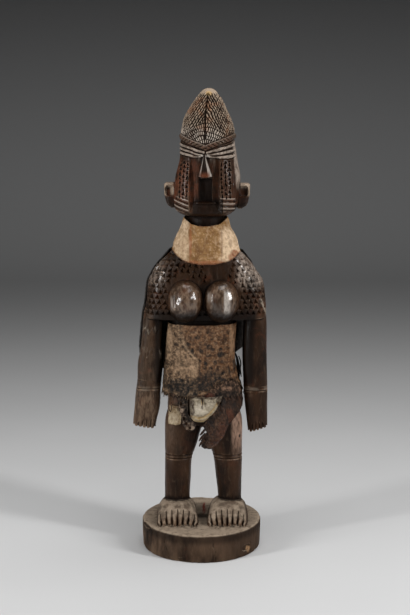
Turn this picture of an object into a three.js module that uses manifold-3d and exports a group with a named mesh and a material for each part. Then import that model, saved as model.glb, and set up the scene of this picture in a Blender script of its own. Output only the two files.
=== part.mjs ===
// Standing fertility figure carved from one block of wood, dressed in hide and leather.
// Units are millimetres and +Z is up. The figure faces -Y, and +X is to its left, the viewer's right.
// The origin is on the ground under the middle of the figure's outline.
import * as THREE from "three";
import { mergeVertices } from "three/addons/utils/BufferGeometryUtils.js";
import Module from "manifold-3d";

const wasm = await Module();
wasm.setup();

const FULL_TURN = 2 * Math.PI;
const FRONT = -Math.PI / 2;
const BACK = Math.PI / 2;

// The round base
const BASE_X = 1.7;
const BASE_RADIUS = 89;
const BASE_HEIGHT = 42;
const BASE_WORN_EDGE = 4;
const BASE_FOOT_EDGE = 3;
const BASE_TAPER = 1.5;
const BASE_SIDES = 36;

// Clearance kept between two pieces, and the thickness of the hides
const CLEARANCE = 0.5;
const HIDE = 2.2;
const RAWHIDE = 2.6;

// Reach of a cut that starts outside the figure
const OUTSIDE = 60;

// One cross section: height, centre, half width, half depth in front and behind, squareness and end slope.
const section = (z, x, wide, front, back, square = 2.6, slope = 0) =>
  ({ z, x, wide, front, back, square, slope });

// Trunk from the crotch to the chest
const TRUNK_SIDES = 16;
const TRUNK_STEP = 60;
const TRUNK = [
  section(189, 5, 53, 24, 30),
  section(218, 4.5, 53, 30, 38),
  section(253, 2.5, 48.5, 29, 34),
  section(303, 1, 45.5, 28, 29),
  section(359, 3.8, 45.5, 29, 29),
];

// Shoulder block and neck
const SHOULDER_SIDES = 24;
const SHOULDER_STEP = 24;
const SHOULDERS = [
  section(351, 6.8, 90.2, 36, 36, 3.2),
  section(374, 8.5, 87.4, 37, 38, 3.2),
  section(404, 8.1, 83.7, 36.5, 38, 3),
  section(416, 7.2, 77.2, 35.5, 37, 2.8),
  section(428, 7, 69.5, 34, 36),
  section(440, 7.8, 58.2, 32, 34),
  section(452, 7.8, 46.3, 29, 31),
  section(463, 7.7, 39.5, 26.5, 28),
  section(474, 7.6, 31, 25, 25.5, 2.3),
  section(483, 7.6, 26, 25, 25, 2.1),
  section(509, 8.6, 25, 25, 25, 2.1),
];

// Arms from the finger tips up into the shoulder, the viewer's left one first
const LEFT_ARM = [
  section(183.5, -83.5, 16.7, 12, 12, 3, -0.148),
  section(190, -83, 17.2, 13.5, 13.5, 3),
  section(215, -79, 18.8, 16, 16, 3),
  section(240, -77.2, 18.2, 17, 17, 3),
  section(254, -75.4, 18, 18, 18, 3),
  section(281, -73.8, 18.5, 19.5, 19.5, 3),
  section(307, -71.6, 16, 21, 21, 3),
  section(351, -69, 14.6, 22.5, 22.5, 3),
  section(375, -66, 13, 18, 18, 3),
];
const RIGHT_ARM = [
  section(179.5, 85.8, 14.4, 12, 12, 3, 0.31),
  section(191, 84.8, 15.3, 13.5, 13.5, 3),
  section(215, 83.2, 16.6, 16, 16, 3),
  section(234, 82.2, 17.6, 17, 17, 3),
  section(248, 81.8, 17.8, 18, 18, 3),
  section(281, 80.6, 18, 19.5, 19.5, 3),
  section(307, 80.2, 17.8, 21, 21, 3),
  section(351, 80.6, 16.4, 22.5, 22.5, 3),
  section(375, 79, 13, 18, 18, 3),
];
const LEFT_WRIST = [243, 250];
const RIGHT_WRIST = [241.5];
const ARM_SIDES = 12;
const LIMB_STEP = 40;

// Rings cut round the wrists and below the knees
const RING_DEPTH = 1.4;
const RING_HALF = 1.3;

// Grooves between the fingers, from below the tips up the front of the hand
const FINGERS = 5;
const FINGER_GROOVE = 2.6;
const FINGER_GROOVE_BELOW = 3;
const FINGER_GROOVE_HIGH = 14;

// Legs from inside the feet up into the trunk
const LEFT_LEG = [
  section(51, -34.7, 18.5, 19, 23, 2.4),
  section(77, -34.6, 18.6, 20, 24, 2.4),
  section(105, -33.8, 19.4, 21, 26, 2.4),
  section(134, -32.8, 20.1, 22, 24, 2.4),
  section(161, -28.5, 24.5, 23.5, 27, 2.4),
  section(193, -24.5, 28, 24, 29, 2.4),
  section(207, -23.5, 26, 22, 27, 2.4),
];
const RIGHT_LEG = [
  section(51, 44, 17.2, 19, 23, 2.4),
  section(77, 44.1, 17.4, 20, 24, 2.4),
  section(105, 42.6, 19.2, 21, 26, 2.4),
  section(134, 41.2, 21.2, 22, 24, 2.4),
  section(161, 37.8, 24.6, 23.5, 27, 2.4),
  section(193, 34.5, 28, 24, 29, 2.4),
  section(207, 33.5, 26, 22, 27, 2.4),
];
const KNEE_RINGS = [138, 143.5];
const LEG_SIDES = 12;

// Feet, with each section's height measured from heel to toe along -Y and its depth upwards from the base
const LEFT_FOOT = [
  section(-34, -35, 16, 3, 14),
  section(-26, -35, 24, 3, 24),
  section(-10, -35, 28.5, 3, 31),
  section(8, -35, 30, 3, 34),
  section(20, -34.5, 30.5, 3, 32),
  section(32, -34, 31, 3, 27),
  section(42, -33.5, 30.5, 3, 20.5),
  section(48, -33.8, 29, 3, 12.5),
  section(51.5, -34, 27, 3, 6),
];
const RIGHT_FOOT = [
  section(-34, 41.5, 16, 3, 14),
  section(-26, 41.5, 24, 3, 24),
  section(-10, 41.5, 28.5, 3, 31),
  section(8, 41.3, 30, 3, 34),
  section(20, 41, 30, 3, 32),
  section(32, 40.5, 30, 3, 27),
  section(42, 40, 29.5, 3, 20.5),
  section(48, 40, 28, 3, 12.5),
  section(51.5, 40, 26, 3, 6),
];
const FOOT_SIDES = 12;
const FOOT_STEP = 30;

// Grooves between the toes, at four distances from the middle of the base, which run out over the tips
const TOES = 5;
const TOE_GROOVE = 3;
const TOE_GROOVE_REACH = [34, 42, 48, 54];
const TOE_TIP_DROP = 4;

// Breasts: the middle of the left one, the sizes of both, and the distance between them
const BREAST = { x: -21.2, y: -34, z: 381, wide: 24.8, deep: 28, high: 30.5 };
const BREAST_APART = 51.9;
const BREAST_TILT = THREE.MathUtils.degToRad(12);
const BREAST_SIDES = 13;
const BREAST_RINGS = 8;

// Head, in its own frame on the axis of the neck, turned a little to the viewer's left
const HEAD_X = 10;
const HEAD_TURN = THREE.MathUtils.degToRad(-6);
const HEAD = [
  section(501, -1, 30, 27, 27, 2.6),
  section(504, -1.6, 37, 33.5, 34, 2.6),
  section(510, -1.6, 43.5, 38, 39, 2.8),
  section(523, -0.5, 47, 40.5, 42, 2.8),
  section(543, 0.5, 47, 41, 43, 2.8),
  section(558, 1.2, 46.3, 41, 43, 2.8),
  section(569, 1.7, 43.8, 40.5, 42.5, 2.7),
  section(580, 2, 41.5, 39.5, 42, 2.6),
  section(592, 1.7, 40, 39, 41, 2.5),
  section(604, 1, 39, 38.5, 40, 2.3),
  section(620, 1, 38.6, 38, 39, 2.1),
  section(632, 1, 36.4, 36, 37, 2),
  section(643, 0.5, 32.8, 32.8, 33.5, 2),
  section(654, 1, 27, 27, 27.5, 2),
  section(666, 2, 20.5, 20.5, 20.5, 2),
  section(675, 2.5, 13.8, 13.8, 13.8, 2),
  section(681, 2.7, 7.6, 7.6, 7.6, 2),
  section(683, 2.7, 3.5, 3.5, 3.5, 2),
];
const HEAD_SIDES = 24;
const HEAD_STEP = 30;

// Band round the hair: its height at the sides and in the middle of the forehead, and its section
const BAND_SIDE = 615;
const BAND_MIDDLE = 600.5;
const BAND_HALF = 3.6;
const BAND_PROUD = 2.4;
const BAND_INSIDE = 2;
const BAND_TWIST = 0.6;
const BAND_STEPS = 24;

// Herringbone grooves of the hair, which fall away from the middle line in front and behind
const HAIR_TOP = 671;
const HAIR_PITCH = 11.5;
const HAIR_ANGLE = THREE.MathUtils.degToRad(36);
const HAIR_STEP = 18;
const HAIR_WIDTH = 3.8;
const HAIR_DEPTH = 1.6;
const HAIR_FRONT_ROWS = 6;
const HAIR_BACK_ROWS = 4;

// Face: the brow, the sunk planes beside the nose, the nose, and the mouth
const BROW = 588;
const PLANE_INNER = 9.5;
const PLANE_OUTER = 22;
const PLANE_BOTTOM = 506;
const PLANE_DEPTH = 35.5;
const NOSE_BOTTOM = 560;
const NOSE_REACH = 52;
const NOSE = { inside: 30, start: 38, topHalf: 2, ridgeHalf: 4.5, baseHalf: 9.2, tipRise: 3 };
const MOUTH_TOP = 556;
const MOUTH_BOTTOM = 524;
const MOUTH_HALF = 8.6;
const MOUTH_DEPTH = 32;
const LIP_HEIGHT = 3.4;
const LIP_REACH = 43.4;

// Columns of small knife notches on the cheeks, and the lines below them
const CHEEK_COLUMNS = [26.5, 33];
const CHEEK_TOP = 580;
const CHEEK_STEP = 9;
const CHEEK_ROWS = 6;
const CHEEK_NOTCH = 4.8;
const CHEEK_NOTCH_DEPTH = 1.6;
const CHEEK_LINES = [525, 517.5, 510.5];
const CHEEK_LINE_FROM = 23.5;
const CHEEK_LINE_TO = 42;
const CHEEK_LINE_RISE = 1.5;

// Lines that fan out over the forehead from above the nose
const FOREHEAD_LINES = 3;
const FOREHEAD_FROM = { x: 5, rise: 3, step: 2.2 };
const FOREHEAD_TO = { x: 37, rise: 3, step: 6 };
const FACE_LINE_WIDTH = 2.5;
const FACE_LINE_DEPTH = 1.4;

// Ears
const EAR_HALF = 9;
const EAR_BOTTOM = 513;
const EAR_TOP = 547;
const EAR_INNER = 42;
const EAR_OUTER = 61.5;
const EAR_RIM = 2.6;
const EAR_POCKET = 15;
const EAR_ROUND = 5.5;
const EAR_SLANT = 5;
const EAR_TAPER = 2;

// Rows of larger notches over the shoulders, chest and upper arms, and the plain patch on the right of the chest
const NOTCH = 7.4;
const NOTCH_DEPTH = 2.2;
const NOTCH_TOP = 446;
const NOTCH_ROW = 11.5;
const NOTCH_ROWS = 8;
const NOTCH_STEP = 14.5;
const NOTCH_START = 0.06;
const NOTCH_BEHIND = 0.25;
const NOTCH_CLEAR = 4;
const PLAIN_PATCH = { low: 411, high: 435, near: 8, far: 40 };

// Collar of pale rawhide, wider below; its lower edge dips in front and its upper edge is open round the neck
const COLLAR_COLUMNS = 20;
const COLLAR_ROWS = 3;
const EDGE_POWER = 1.5;
const COLLAR = [
  section(431, 8.2, 49.8, 47.5, 44, 2.4),
  section(462, 7.8, 43.9, 42.2, 41.4, 2.4),
  section(473, 8.4, 39.9, 38.6, 38.6, 2.4),
  section(485, 7.8, 33.4, 33.2, 34, 2.3),
  section(504, 8, 28.6, 29, 30, 2.2),
];
const COLLAR_LOW = { front: 435, left: 455, right: 450.5, back: 460 };
const COLLAR_HIGH = { front: 488.5, side: 499, back: 500 };

// Hide wrapped round the trunk, from under the breasts to the hips
const WRAP_COLUMNS = 28;
const WRAP_ROWS = 4;
const WRAP = [
  section(231, 4.6, 58.8, 38.6, 43.5),
  section(265, 0.8, 52.2, 35.4, 40),
  section(293, -0.3, 49, 33, 34.5),
  section(345, 3.3, 48, 32, 32.5),
];
const WRAP_TOP = 344.5;
const WRAP_LOW = { front: 239, left: 231, right: 233, back: 236 };
const WRAP_TORN = 5;
const WRAP_TORN_ANGLE = 0.7;
const WRAP_WAVES = 11;

// Cape of dark leather that hangs from the collar over the back of the shoulders
const CAPE_COLUMNS = 20;
const CAPE_ROWS = 7;
const CAPE = [
  section(243, 5, 92.4, 40, 47.5, 3),
  section(303, 4.4, 93, 40, 44, 3),
  section(351, 7, 91.4, 38, 42, 3.2),
  section(374, 8.4, 88.6, 38, 40.6, 3.2),
  section(404, 8.1, 84.6, 37.5, 40, 3),
  section(416, 7.2, 78.2, 36.5, 39.4, 2.8),
  section(428, 7, 70.8, 35, 38.2),
  section(440, 7.5, 60.6, 33, 36),
  section(452, 8, 51, 30.5, 33.6),
  section(463, 8, 45, 27, 31),
];
const CAPE_RIM = [[0, 449], [0.2, 449], [0.5, 458], [0.8, 452], [1, 450]];
const CAPE_HEM = [[0, 318], [0.07, 302], [0.22, 269], [0.5, 254], [0.79, 271], [0.86, 246], [0.93, 303], [1, 306]];
const CAPE_HOLE = [[50.5, 274], [60, 271], [60.5, 292]];
const CAPE_LEFT_ANGLE = Math.PI - 0.03;
const CAPE_RIGHT_ANGLES = [[0, 0.12], [0.12, 0.3], [0.25, 0.62], [1, 0.72]];

// The surface that the loincloth's pieces hang on: down the belly and past the front of the thighs
const APRON = [
  section(141, 4.5, 58, 31, 32),
  section(189, 4.5, 58, 31.4, 34),
  section(218, 4.5, 56, 31.4, 40),
  section(253, 2.5, 45.5, 30.6, 36),
];
const APRON_SIDES = 24;
const APRON_STEP = 20;
const UNDER_LAYER = 0;
const UPPER_LAYER = 2.5;
const LAYER = 2;

// Outlines of the loincloth's pieces as seen from the front: x and z
const THIGH_FLAP = [[-49, 225], [-30, 225], [-25, 211], [-28.5, 194], [-41, 188.5], [-48.5, 189.5]];
const RIGHT_STRIP = [
  [4, 225], [34, 227], [45, 199], [39.5, 183], [24, 163], [17, 158], [5, 157], [0.5, 161], [-2, 166], [9, 179], [4, 189],
];
const LEFT_STRIP = [
  [-37, 243], [-17, 243], [-15.5, 229], [-13.5, 211], [-3, 195], [-3.5, 187], [-10.5, 183.5], [-20, 186], [-25.5, 198],
  [-30, 217],
];
const STRIP_HOLES = [[-26.5, 221], [-22, 211.5], [-18.5, 202], [-13, 193.5]];
const STRIP_HOLE = { wide: 2.4, high: 3.8, sides: 7 };
const HIP_FLAP = [
  [30, 243], [58, 243], [63.5, 229], [63, 215], [55, 204], [46, 194], [39.5, 197], [33, 208], [29, 225],
];
const POUCH = { x: 5.6, y: -36, z: 215.5, wide: 19.2, deep: 9.5, high: 18 };
const POUCH_SIDES = 12;
const POUCH_RINGS = 8;

// A closed solid from points and triangles, turned the right way round if its faces point inwards.
function solidOf(positions, triangles) {
  const geometry = new THREE.BufferGeometry();
  geometry.setAttribute("position", new THREE.Float32BufferAttribute(positions, 3));
  geometry.setIndex(triangles);
  return solidFrom(geometry);
}

function solidFrom(geometry) {
  geometry.deleteAttribute("normal");
  geometry.deleteAttribute("uv");
  const merged = mergeVertices(geometry, 1e-4);
  const points = merged.attributes.position.array;
  const triVerts = new Uint32Array(merged.index.array);
  if (signedVolume(points, triVerts) < 0) {
    for (let i = 0; i < triVerts.length; i += 3) {
      const first = triVerts[i];
      triVerts[i] = triVerts[i + 1];
      triVerts[i + 1] = first;
    }
  }
  return new wasm.Manifold(new wasm.Mesh({ numProp: 3, vertProperties: points, triVerts }));
}

function signedVolume(points, triVerts) {
  const a = new THREE.Vector3();
  const b = new THREE.Vector3();
  const c = new THREE.Vector3();
  let sum = 0;
  for (let i = 0; i < triVerts.length; i += 3) {
    a.fromArray(points, 3 * triVerts[i]);
    b.fromArray(points, 3 * triVerts[i + 1]);
    c.fromArray(points, 3 * triVerts[i + 2]);
    sum += a.dot(b.cross(c));
  }
  return sum;
}

// A cubic through the sections gives any size at any height between them.
function blendSections(sections, z) {
  const last = sections.length - 1;
  let i = 0;
  while (i < last - 1 && z > sections[i + 1].z) {
    i += 1;
  }
  const before = sections[Math.max(i - 1, 0)];
  const low = sections[i];
  const high = sections[i + 1];
  const after = sections[Math.min(i + 2, last)];
  const span = high.z - low.z;
  const t = Math.min(Math.max((z - low.z) / span, 0), 1);
  const blended = { z };
  for (const key of ["x", "wide", "front", "back", "square", "slope"]) {
    const slopeLow = ((high[key] - before[key]) / (high.z - before.z || 1)) * span;
    const slopeHigh = ((after[key] - low[key]) / (after.z - low.z || 1)) * span;
    const bend = t * t * (3 - 2 * t);
    const rise = t * (1 - t);
    blended[key] = low[key] + (high[key] - low[key]) * bend
      + rise * ((1 - t) * slopeLow - t * slopeHigh);
  }
  return blended;
}

// A carved form whose cross sections are rounded rectangles, set out along the height of its own frame.
class Form {
  constructor(sections, place = new THREE.Matrix4()) {
    this.sections = sections;
    this.place = place;
    this.low = sections[0].z;
    this.high = sections[sections.length - 1].z;
  }

  local(z, angle, grow = 0) {
    const s = blendSections(this.sections, z);
    const c = Math.cos(angle);
    const n = Math.sin(angle);
    const k = (Math.abs(c) ** s.square + Math.abs(n) ** s.square) ** (1 / s.square);
    const deep = n < 0 ? s.front : s.back;
    const x = ((s.wide + grow) * c) / k;
    return new THREE.Vector3(s.x + x, ((deep + grow) * n) / k, z + s.slope * x);
  }

  at(z, angle, grow = 0) {
    return this.local(z, angle, grow).applyMatrix4(this.place);
  }

  outward(z, angle) {
    const turn = 0.02;
    const rise = 0.8;
    const along = this.at(z, angle + turn).sub(this.at(z, angle - turn));
    const up = this.at(Math.min(z + rise, this.high), angle).sub(this.at(Math.max(z - rise, this.low), angle));
    return along.cross(up).normalize();
  }

  // The angle at which the front of the section at height z passes through x of the form's own frame
  frontAngle(x, z) {
    let left = -Math.PI;
    let right = 0;
    for (let i = 0; i < 30; i += 1) {
      const middle = (left + right) / 2;
      if (this.local(z, middle).x < x) {
        left = middle;
      } else {
        right = middle;
      }
    }
    return (left + right) / 2;
  }

  // The closed solid; rings lists levels at which a narrow ring is cut into it.
  solid({ sides, step, grow = 0, rings = [] }) {
    const levels = this.sections.map((s) => s.z);
    this.sections.slice(1).forEach((s, i) => {
      const span = s.z - this.sections[i].z;
      const parts = Math.round(span / step);
      for (let j = 1; j < parts; j += 1) {
        levels.push(this.sections[i].z + (span * j) / parts);
      }
    });
    const kept = levels.filter((z) => rings.every((ring) => Math.abs(z - ring) > 2 * RING_HALF));
    for (const ring of rings) {
      kept.push(ring - RING_HALF, ring, ring + RING_HALF);
    }
    kept.sort((a, b) => a - b);
    kept[0] -= grow;
    kept[kept.length - 1] += grow;
    const positions = [];
    const triangles = [];
    kept.forEach((z) => {
      const cut = rings.includes(z) ? RING_DEPTH : 0;
      for (let i = 0; i < sides; i += 1) {
        positions.push(...this.at(z, (FULL_TURN * i) / sides, grow - cut));
      }
    });
    for (let row = 0; row < kept.length - 1; row += 1) {
      bridge(triangles, row * sides, (row + 1) * sides, sides);
    }
    const ends = [[0, kept[0]], [(kept.length - 1) * sides, kept[kept.length - 1]]];
    ends.forEach(([start, z], end) => {
      const s = blendSections(this.sections, z);
      const middle = new THREE.Vector3(s.x, 0, z).applyMatrix4(this.place);
      positions.push(...middle);
      fan(triangles, positions.length / 3 - 1, start, sides, end === 0);
    });
    return solidOf(positions, triangles);
  }
}

function bridge(triangles, low, high, sides) {
  for (let i = 0; i < sides; i += 1) {
    const j = (i + 1) % sides;
    triangles.push(low + i, low + j, high + j);
    triangles.push(low + i, high + j, high + i);
  }
}

function fan(triangles, middle, start, sides, below) {
  for (let i = 0; i < sides; i += 1) {
    const j = (i + 1) % sides;
    if (below) {
      triangles.push(middle, start + j, start + i);
    } else {
      triangles.push(middle, start + i, start + j);
    }
  }
}

// A V-shaped cut along a path on a surface: stations are { point, outward }.
function groove(stations, width, depth) {
  const lift = 0.5 * depth;
  const halfTop = (0.5 * width * (depth + lift)) / depth;
  const positions = [];
  const triangles = [];
  stations.forEach(({ point, outward }, i) => {
    const next = stations[Math.min(i + 1, stations.length - 1)].point;
    const previous = stations[Math.max(i - 1, 0)].point;
    const along = next.clone().sub(previous).normalize();
    const side = along.cross(outward).normalize();
    const top = point.clone().addScaledVector(outward, lift);
    positions.push(...top.clone().addScaledVector(side, halfTop));
    positions.push(...top.clone().addScaledVector(side, -halfTop));
    positions.push(...point.clone().addScaledVector(outward, -depth));
  });
  for (let i = 0; i < stations.length - 1; i += 1) {
    bridge(triangles, 3 * i, 3 * i + 3, 3);
  }
  const end = 3 * (stations.length - 1);
  triangles.push(2, 1, 0, end, end + 1, end + 2);
  return solidOf(positions, triangles);
}

// A three-sided knife notch with its point upwards
function notch(point, outward, size, depth) {
  const up = new THREE.Vector3(0, 0, 1).projectOnPlane(outward).normalize();
  const side = up.clone().cross(outward).normalize();
  const lift = 0.4 * depth;
  const reach = (0.6 * size * (depth + lift)) / depth;
  const rim = point.clone().addScaledVector(outward, lift);
  const corners = [0, 1, 2].map((i) => {
    const angle = BACK + (FULL_TURN * i) / 3;
    return rim.clone().addScaledVector(side, reach * Math.cos(angle)).addScaledVector(up, reach * Math.sin(angle));
  });
  const tip = point.clone().addScaledVector(outward, -depth);
  const positions = [...corners, tip].flatMap((p) => p.toArray());
  return solidOf(positions, [0, 1, 2, 0, 3, 1, 1, 3, 2, 2, 3, 0]);
}

function box(low, high, place = new THREE.Matrix4()) {
  const size = high.map((value, i) => value - low[i]);
  const geometry = new THREE.BoxGeometry(...size);
  geometry.translate(...low.map((value, i) => value + size[i] / 2));
  geometry.applyMatrix4(place);
  return solidFrom(geometry);
}

const headPlace = new THREE.Matrix4().makeRotationZ(HEAD_TURN).setPosition(HEAD_X, 0, 0);
const footPlace = new THREE.Matrix4().makeRotationX(Math.PI / 2).setPosition(0, 0, BASE_HEIGHT);
const trunk = new Form(TRUNK);
const shoulders = new Form(SHOULDERS);
const arms = [new Form(LEFT_ARM), new Form(RIGHT_ARM)];
const legs = [new Form(LEFT_LEG), new Form(RIGHT_LEG)];
const feet = [new Form(LEFT_FOOT, footPlace), new Form(RIGHT_FOOT, footPlace)];
const head = new Form(HEAD, headPlace);

function baseSolid() {
  const profile = [
    [0, 0],
    [BASE_RADIUS - BASE_TAPER, 0],
    [BASE_RADIUS, BASE_FOOT_EDGE],
    [BASE_RADIUS, BASE_HEIGHT - 2 * BASE_WORN_EDGE],
    [BASE_RADIUS - BASE_TAPER, BASE_HEIGHT - BASE_WORN_EDGE],
    [BASE_RADIUS - BASE_WORN_EDGE, BASE_HEIGHT],
    [0, BASE_HEIGHT],
  ].map(([radius, z]) => new THREE.Vector2(radius, z));
  const geometry = new THREE.LatheGeometry(profile, BASE_SIDES);
  geometry.rotateX(Math.PI / 2);
  geometry.translate(BASE_X, 0, 0);
  return solidFrom(geometry);
}

function breastSolid(side) {
  const geometry = new THREE.SphereGeometry(1, BREAST_SIDES, BREAST_RINGS);
  geometry.rotateX(-Math.PI / 2);
  geometry.scale(BREAST.wide, BREAST.deep, BREAST.high);
  geometry.rotateX(BREAST_TILT);
  geometry.translate(BREAST.x + side * BREAST_APART, BREAST.y, BREAST.z);
  return solidFrom(geometry);
}

// The body without any carving; grow swells it, to cut clearance into the hides.
function plainBody(grow = 0) {
  let body = trunk.solid({ sides: TRUNK_SIDES, step: TRUNK_STEP, grow });
  body = body.add(shoulders.solid({ sides: SHOULDER_SIDES, step: SHOULDER_STEP, grow }));
  for (const leg of legs) {
    body = body.add(leg.solid({ sides: LEG_SIDES, step: LIMB_STEP, grow, rings: grow ? [] : KNEE_RINGS }));
  }
  arms.forEach((arm, i) => {
    const rings = [LEFT_WRIST, RIGHT_WRIST][i];
    body = body.add(arm.solid({ sides: ARM_SIDES, step: LIMB_STEP, grow, rings: grow ? [] : rings }));
  });
  return body;
}

// Finger and toe grooves
function fingerGrooves(arm) {
  const cuts = [];
  for (let i = 1; i < FINGERS; i += 1) {
    const share = -1 + (2 * i) / FINGERS;
    const stations = [arm.low - FINGER_GROOVE_BELOW, arm.low + FINGER_GROOVE_HIGH].map((z) => {
      const s = blendSections(arm.sections, Math.max(z, arm.low));
      const x = share * s.wide;
      return {
        point: new THREE.Vector3(s.x + x, -s.front, z + s.slope * x),
        outward: new THREE.Vector3(0, -1, 0),
      };
    });
    cuts.push(groove(stations, FINGER_GROOVE, FINGER_GROOVE));
  }
  return cuts;
}

function toeGrooves(foot) {
  const cuts = [];
  const outward = new THREE.Vector3(0, -3, 4).normalize();
  for (let i = 1; i < TOES; i += 1) {
    const share = -1 + (2 * i) / TOES;
    const stations = TOE_GROOVE_REACH.map((reach) => {
      const s = blendSections(foot.sections, Math.min(reach, foot.high));
      const k = (1 - Math.abs(share) ** s.square) ** (1 / s.square);
      const drop = reach > foot.high ? TOE_TIP_DROP : 0;
      return { point: new THREE.Vector3(s.x + share * s.wide, -reach, BASE_HEIGHT + s.back * k - drop), outward };
    });
    cuts.push(groove(stations, TOE_GROOVE, TOE_GROOVE));
  }
  return cuts;
}

// The band's height at an angle of the head: level behind, and dipping to a point over the brow in front
function bandHeight(angle) {
  const inFront = Math.sin(angle) < 0;
  return inFront ? BAND_MIDDLE + (BAND_SIDE - BAND_MIDDLE) * Math.abs(Math.cos(angle)) : BAND_SIDE;
}

function bandSolid() {
  const outerHalf = 0.5 * BAND_HALF;
  const profile = [
    [-BAND_INSIDE, -BAND_HALF], [BAND_PROUD, -outerHalf], [BAND_PROUD, outerHalf], [-BAND_INSIDE, BAND_HALF],
  ];
  const positions = [];
  const triangles = [];
  for (let i = 0; i < BAND_STEPS; i += 1) {
    const angle = (FULL_TURN * i) / BAND_STEPS;
    const z = bandHeight(angle);
    const twist = i % 2 ? BAND_TWIST : -BAND_TWIST;
    profile.forEach(([proud, rise]) => {
      const swell = proud > 0 ? twist : 0;
      positions.push(...head.local(z, angle, proud + swell).setZ(z + rise).applyMatrix4(headPlace));
    });
  }
  const count = profile.length;
  for (let i = 0; i < BAND_STEPS; i += 1) {
    bridge(triangles, i * count, ((i + 1) % BAND_STEPS) * count, count);
  }
  return solidOf(positions, triangles);
}

function hairGrooves() {
  const cuts = [];
  for (const [middle, rows] of [[FRONT, HAIR_FRONT_ROWS], [BACK, HAIR_BACK_ROWS]]) {
    for (const side of [-1, 1]) {
      for (let row = 0; row < rows; row += 1) {
        const stations = hairPath(middle, side, HAIR_TOP - row * HAIR_PITCH);
        if (stations.length > 1) {
          cuts.push(groove(stations, HAIR_WIDTH, HAIR_DEPTH));
        }
      }
    }
  }
  return cuts;
}

// One strand line: it leaves the middle line at height z and runs down and outwards to the band or the side.
function hairPath(middle, side, z) {
  const stations = [];
  let turned = 0;
  let level = z;
  while (turned < BACK && level > bandHeight(middle + side * turned) + BAND_HALF + 1) {
    const angle = middle + side * turned;
    stations.push({ point: head.at(level, angle), outward: head.outward(level, angle) });
    const s = blendSections(HEAD, level);
    const lower = blendSections(HEAD, level - HAIR_STEP);
    const flank = Math.hypot(1, (lower.wide - s.wide) / HAIR_STEP);
    level -= (HAIR_STEP * Math.cos(HAIR_ANGLE)) / flank;
    turned += (HAIR_STEP * Math.sin(HAIR_ANGLE)) / s.wide;
  }
  return stations;
}

// The nose, a wedge whose ridge widens and comes forward towards the tip
function noseSolid() {
  const { inside, start, topHalf, ridgeHalf, baseHalf, tipRise } = NOSE;
  const points = [
    [-topHalf, -inside, BROW], [topHalf, -inside, BROW], [topHalf, -start, BROW], [-topHalf, -start, BROW],
    [-baseHalf, -inside, NOSE_BOTTOM], [baseHalf, -inside, NOSE_BOTTOM],
    [ridgeHalf, -NOSE_REACH, NOSE_BOTTOM + tipRise], [-ridgeHalf, -NOSE_REACH, NOSE_BOTTOM + tipRise],
  ];
  const positions = points.flatMap((p) => new THREE.Vector3(...p).applyMatrix4(headPlace).toArray());
  const triangles = [0, 1, 2, 0, 2, 3, 4, 6, 5, 4, 7, 6, 3, 2, 6, 3, 6, 7, 0, 4, 5, 0, 5, 1, 0, 3, 7, 0, 7, 4,
    1, 5, 6, 1, 6, 2];
  return solidOf(positions, triangles);
}

// The sunk planes on both sides of the nose, and the one below it
function faceCuts() {
  const cuts = [];
  for (const side of [-1, 1]) {
    const inner = side < 0 ? -PLANE_OUTER : PLANE_INNER;
    const outer = side < 0 ? -PLANE_INNER : PLANE_OUTER;
    cuts.push(box([inner, -OUTSIDE, PLANE_BOTTOM], [outer, -PLANE_DEPTH, BROW], headPlace));
  }
  const middle = PLANE_INNER + 1;
  cuts.push(box([-middle, -OUTSIDE, MOUTH_TOP], [middle, -PLANE_DEPTH, BROW], headPlace));
  return cuts;
}

// A groove across the face between two points given as x and z
function faceLine(ends) {
  const stations = [];
  for (const share of [0, 0.5, 1]) {
    const x = THREE.MathUtils.lerp(ends[0][0], ends[1][0], share);
    const z = THREE.MathUtils.lerp(ends[0][1], ends[1][1], share);
    const angle = head.frontAngle(x, z);
    stations.push({ point: head.at(z, angle), outward: head.outward(z, angle) });
  }
  return groove(stations, FACE_LINE_WIDTH, FACE_LINE_DEPTH);
}

function faceLines() {
  const cuts = [];
  for (const side of [-1, 1]) {
    for (const z of CHEEK_LINES) {
      cuts.push(faceLine([
        [side * CHEEK_LINE_FROM, z - CHEEK_LINE_RISE],
        [side * CHEEK_LINE_TO, z + CHEEK_LINE_RISE],
      ]));
    }
    for (let i = 0; i < FOREHEAD_LINES; i += 1) {
      const ends = [FOREHEAD_FROM, FOREHEAD_TO].map(({ x, rise, step }) => [side * x, BROW + rise + step * i]);
      cuts.push(faceLine(ends));
    }
    CHEEK_COLUMNS.forEach((x, column) => {
      for (let row = 0; row < CHEEK_ROWS; row += 1) {
        const z = CHEEK_TOP - CHEEK_STEP * (row + 0.5 * column);
        const angle = head.frontAngle(side * x, z);
        cuts.push(notch(head.at(z, angle), head.outward(z, angle), CHEEK_NOTCH, CHEEK_NOTCH_DEPTH));
      }
    });
  }
  return cuts;
}

function earSolid(side) {
  const low = side < 0 ? -EAR_OUTER : EAR_INNER;
  const high = side < 0 ? -EAR_INNER : EAR_OUTER;
  const outline = new THREE.Shape();
  outline.moveTo(side * EAR_INNER, EAR_TOP);
  outline.lineTo(side * (EAR_OUTER - EAR_ROUND), EAR_TOP);
  outline.quadraticCurveTo(side * EAR_OUTER, EAR_TOP, side * EAR_OUTER, EAR_TOP - EAR_ROUND);
  outline.lineTo(side * (EAR_OUTER - EAR_TAPER), EAR_BOTTOM + EAR_SLANT);
  outline.lineTo(side * EAR_INNER, EAR_BOTTOM);
  const geometry = new THREE.ExtrudeGeometry(outline, { depth: 2 * EAR_HALF, bevelEnabled: false, curveSegments: 4 });
  geometry.rotateX(Math.PI / 2);
  geometry.translate(0, EAR_HALF, 0);
  geometry.applyMatrix4(headPlace);
  const pocket = box(
    [low + EAR_RIM, -EAR_HALF - 1, EAR_TOP - EAR_RIM - EAR_POCKET],
    [high - EAR_RIM, EAR_HALF - EAR_RIM, EAR_TOP - EAR_RIM],
    headPlace,
  );
  return solidFrom(geometry).subtract(pocket);
}

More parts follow.
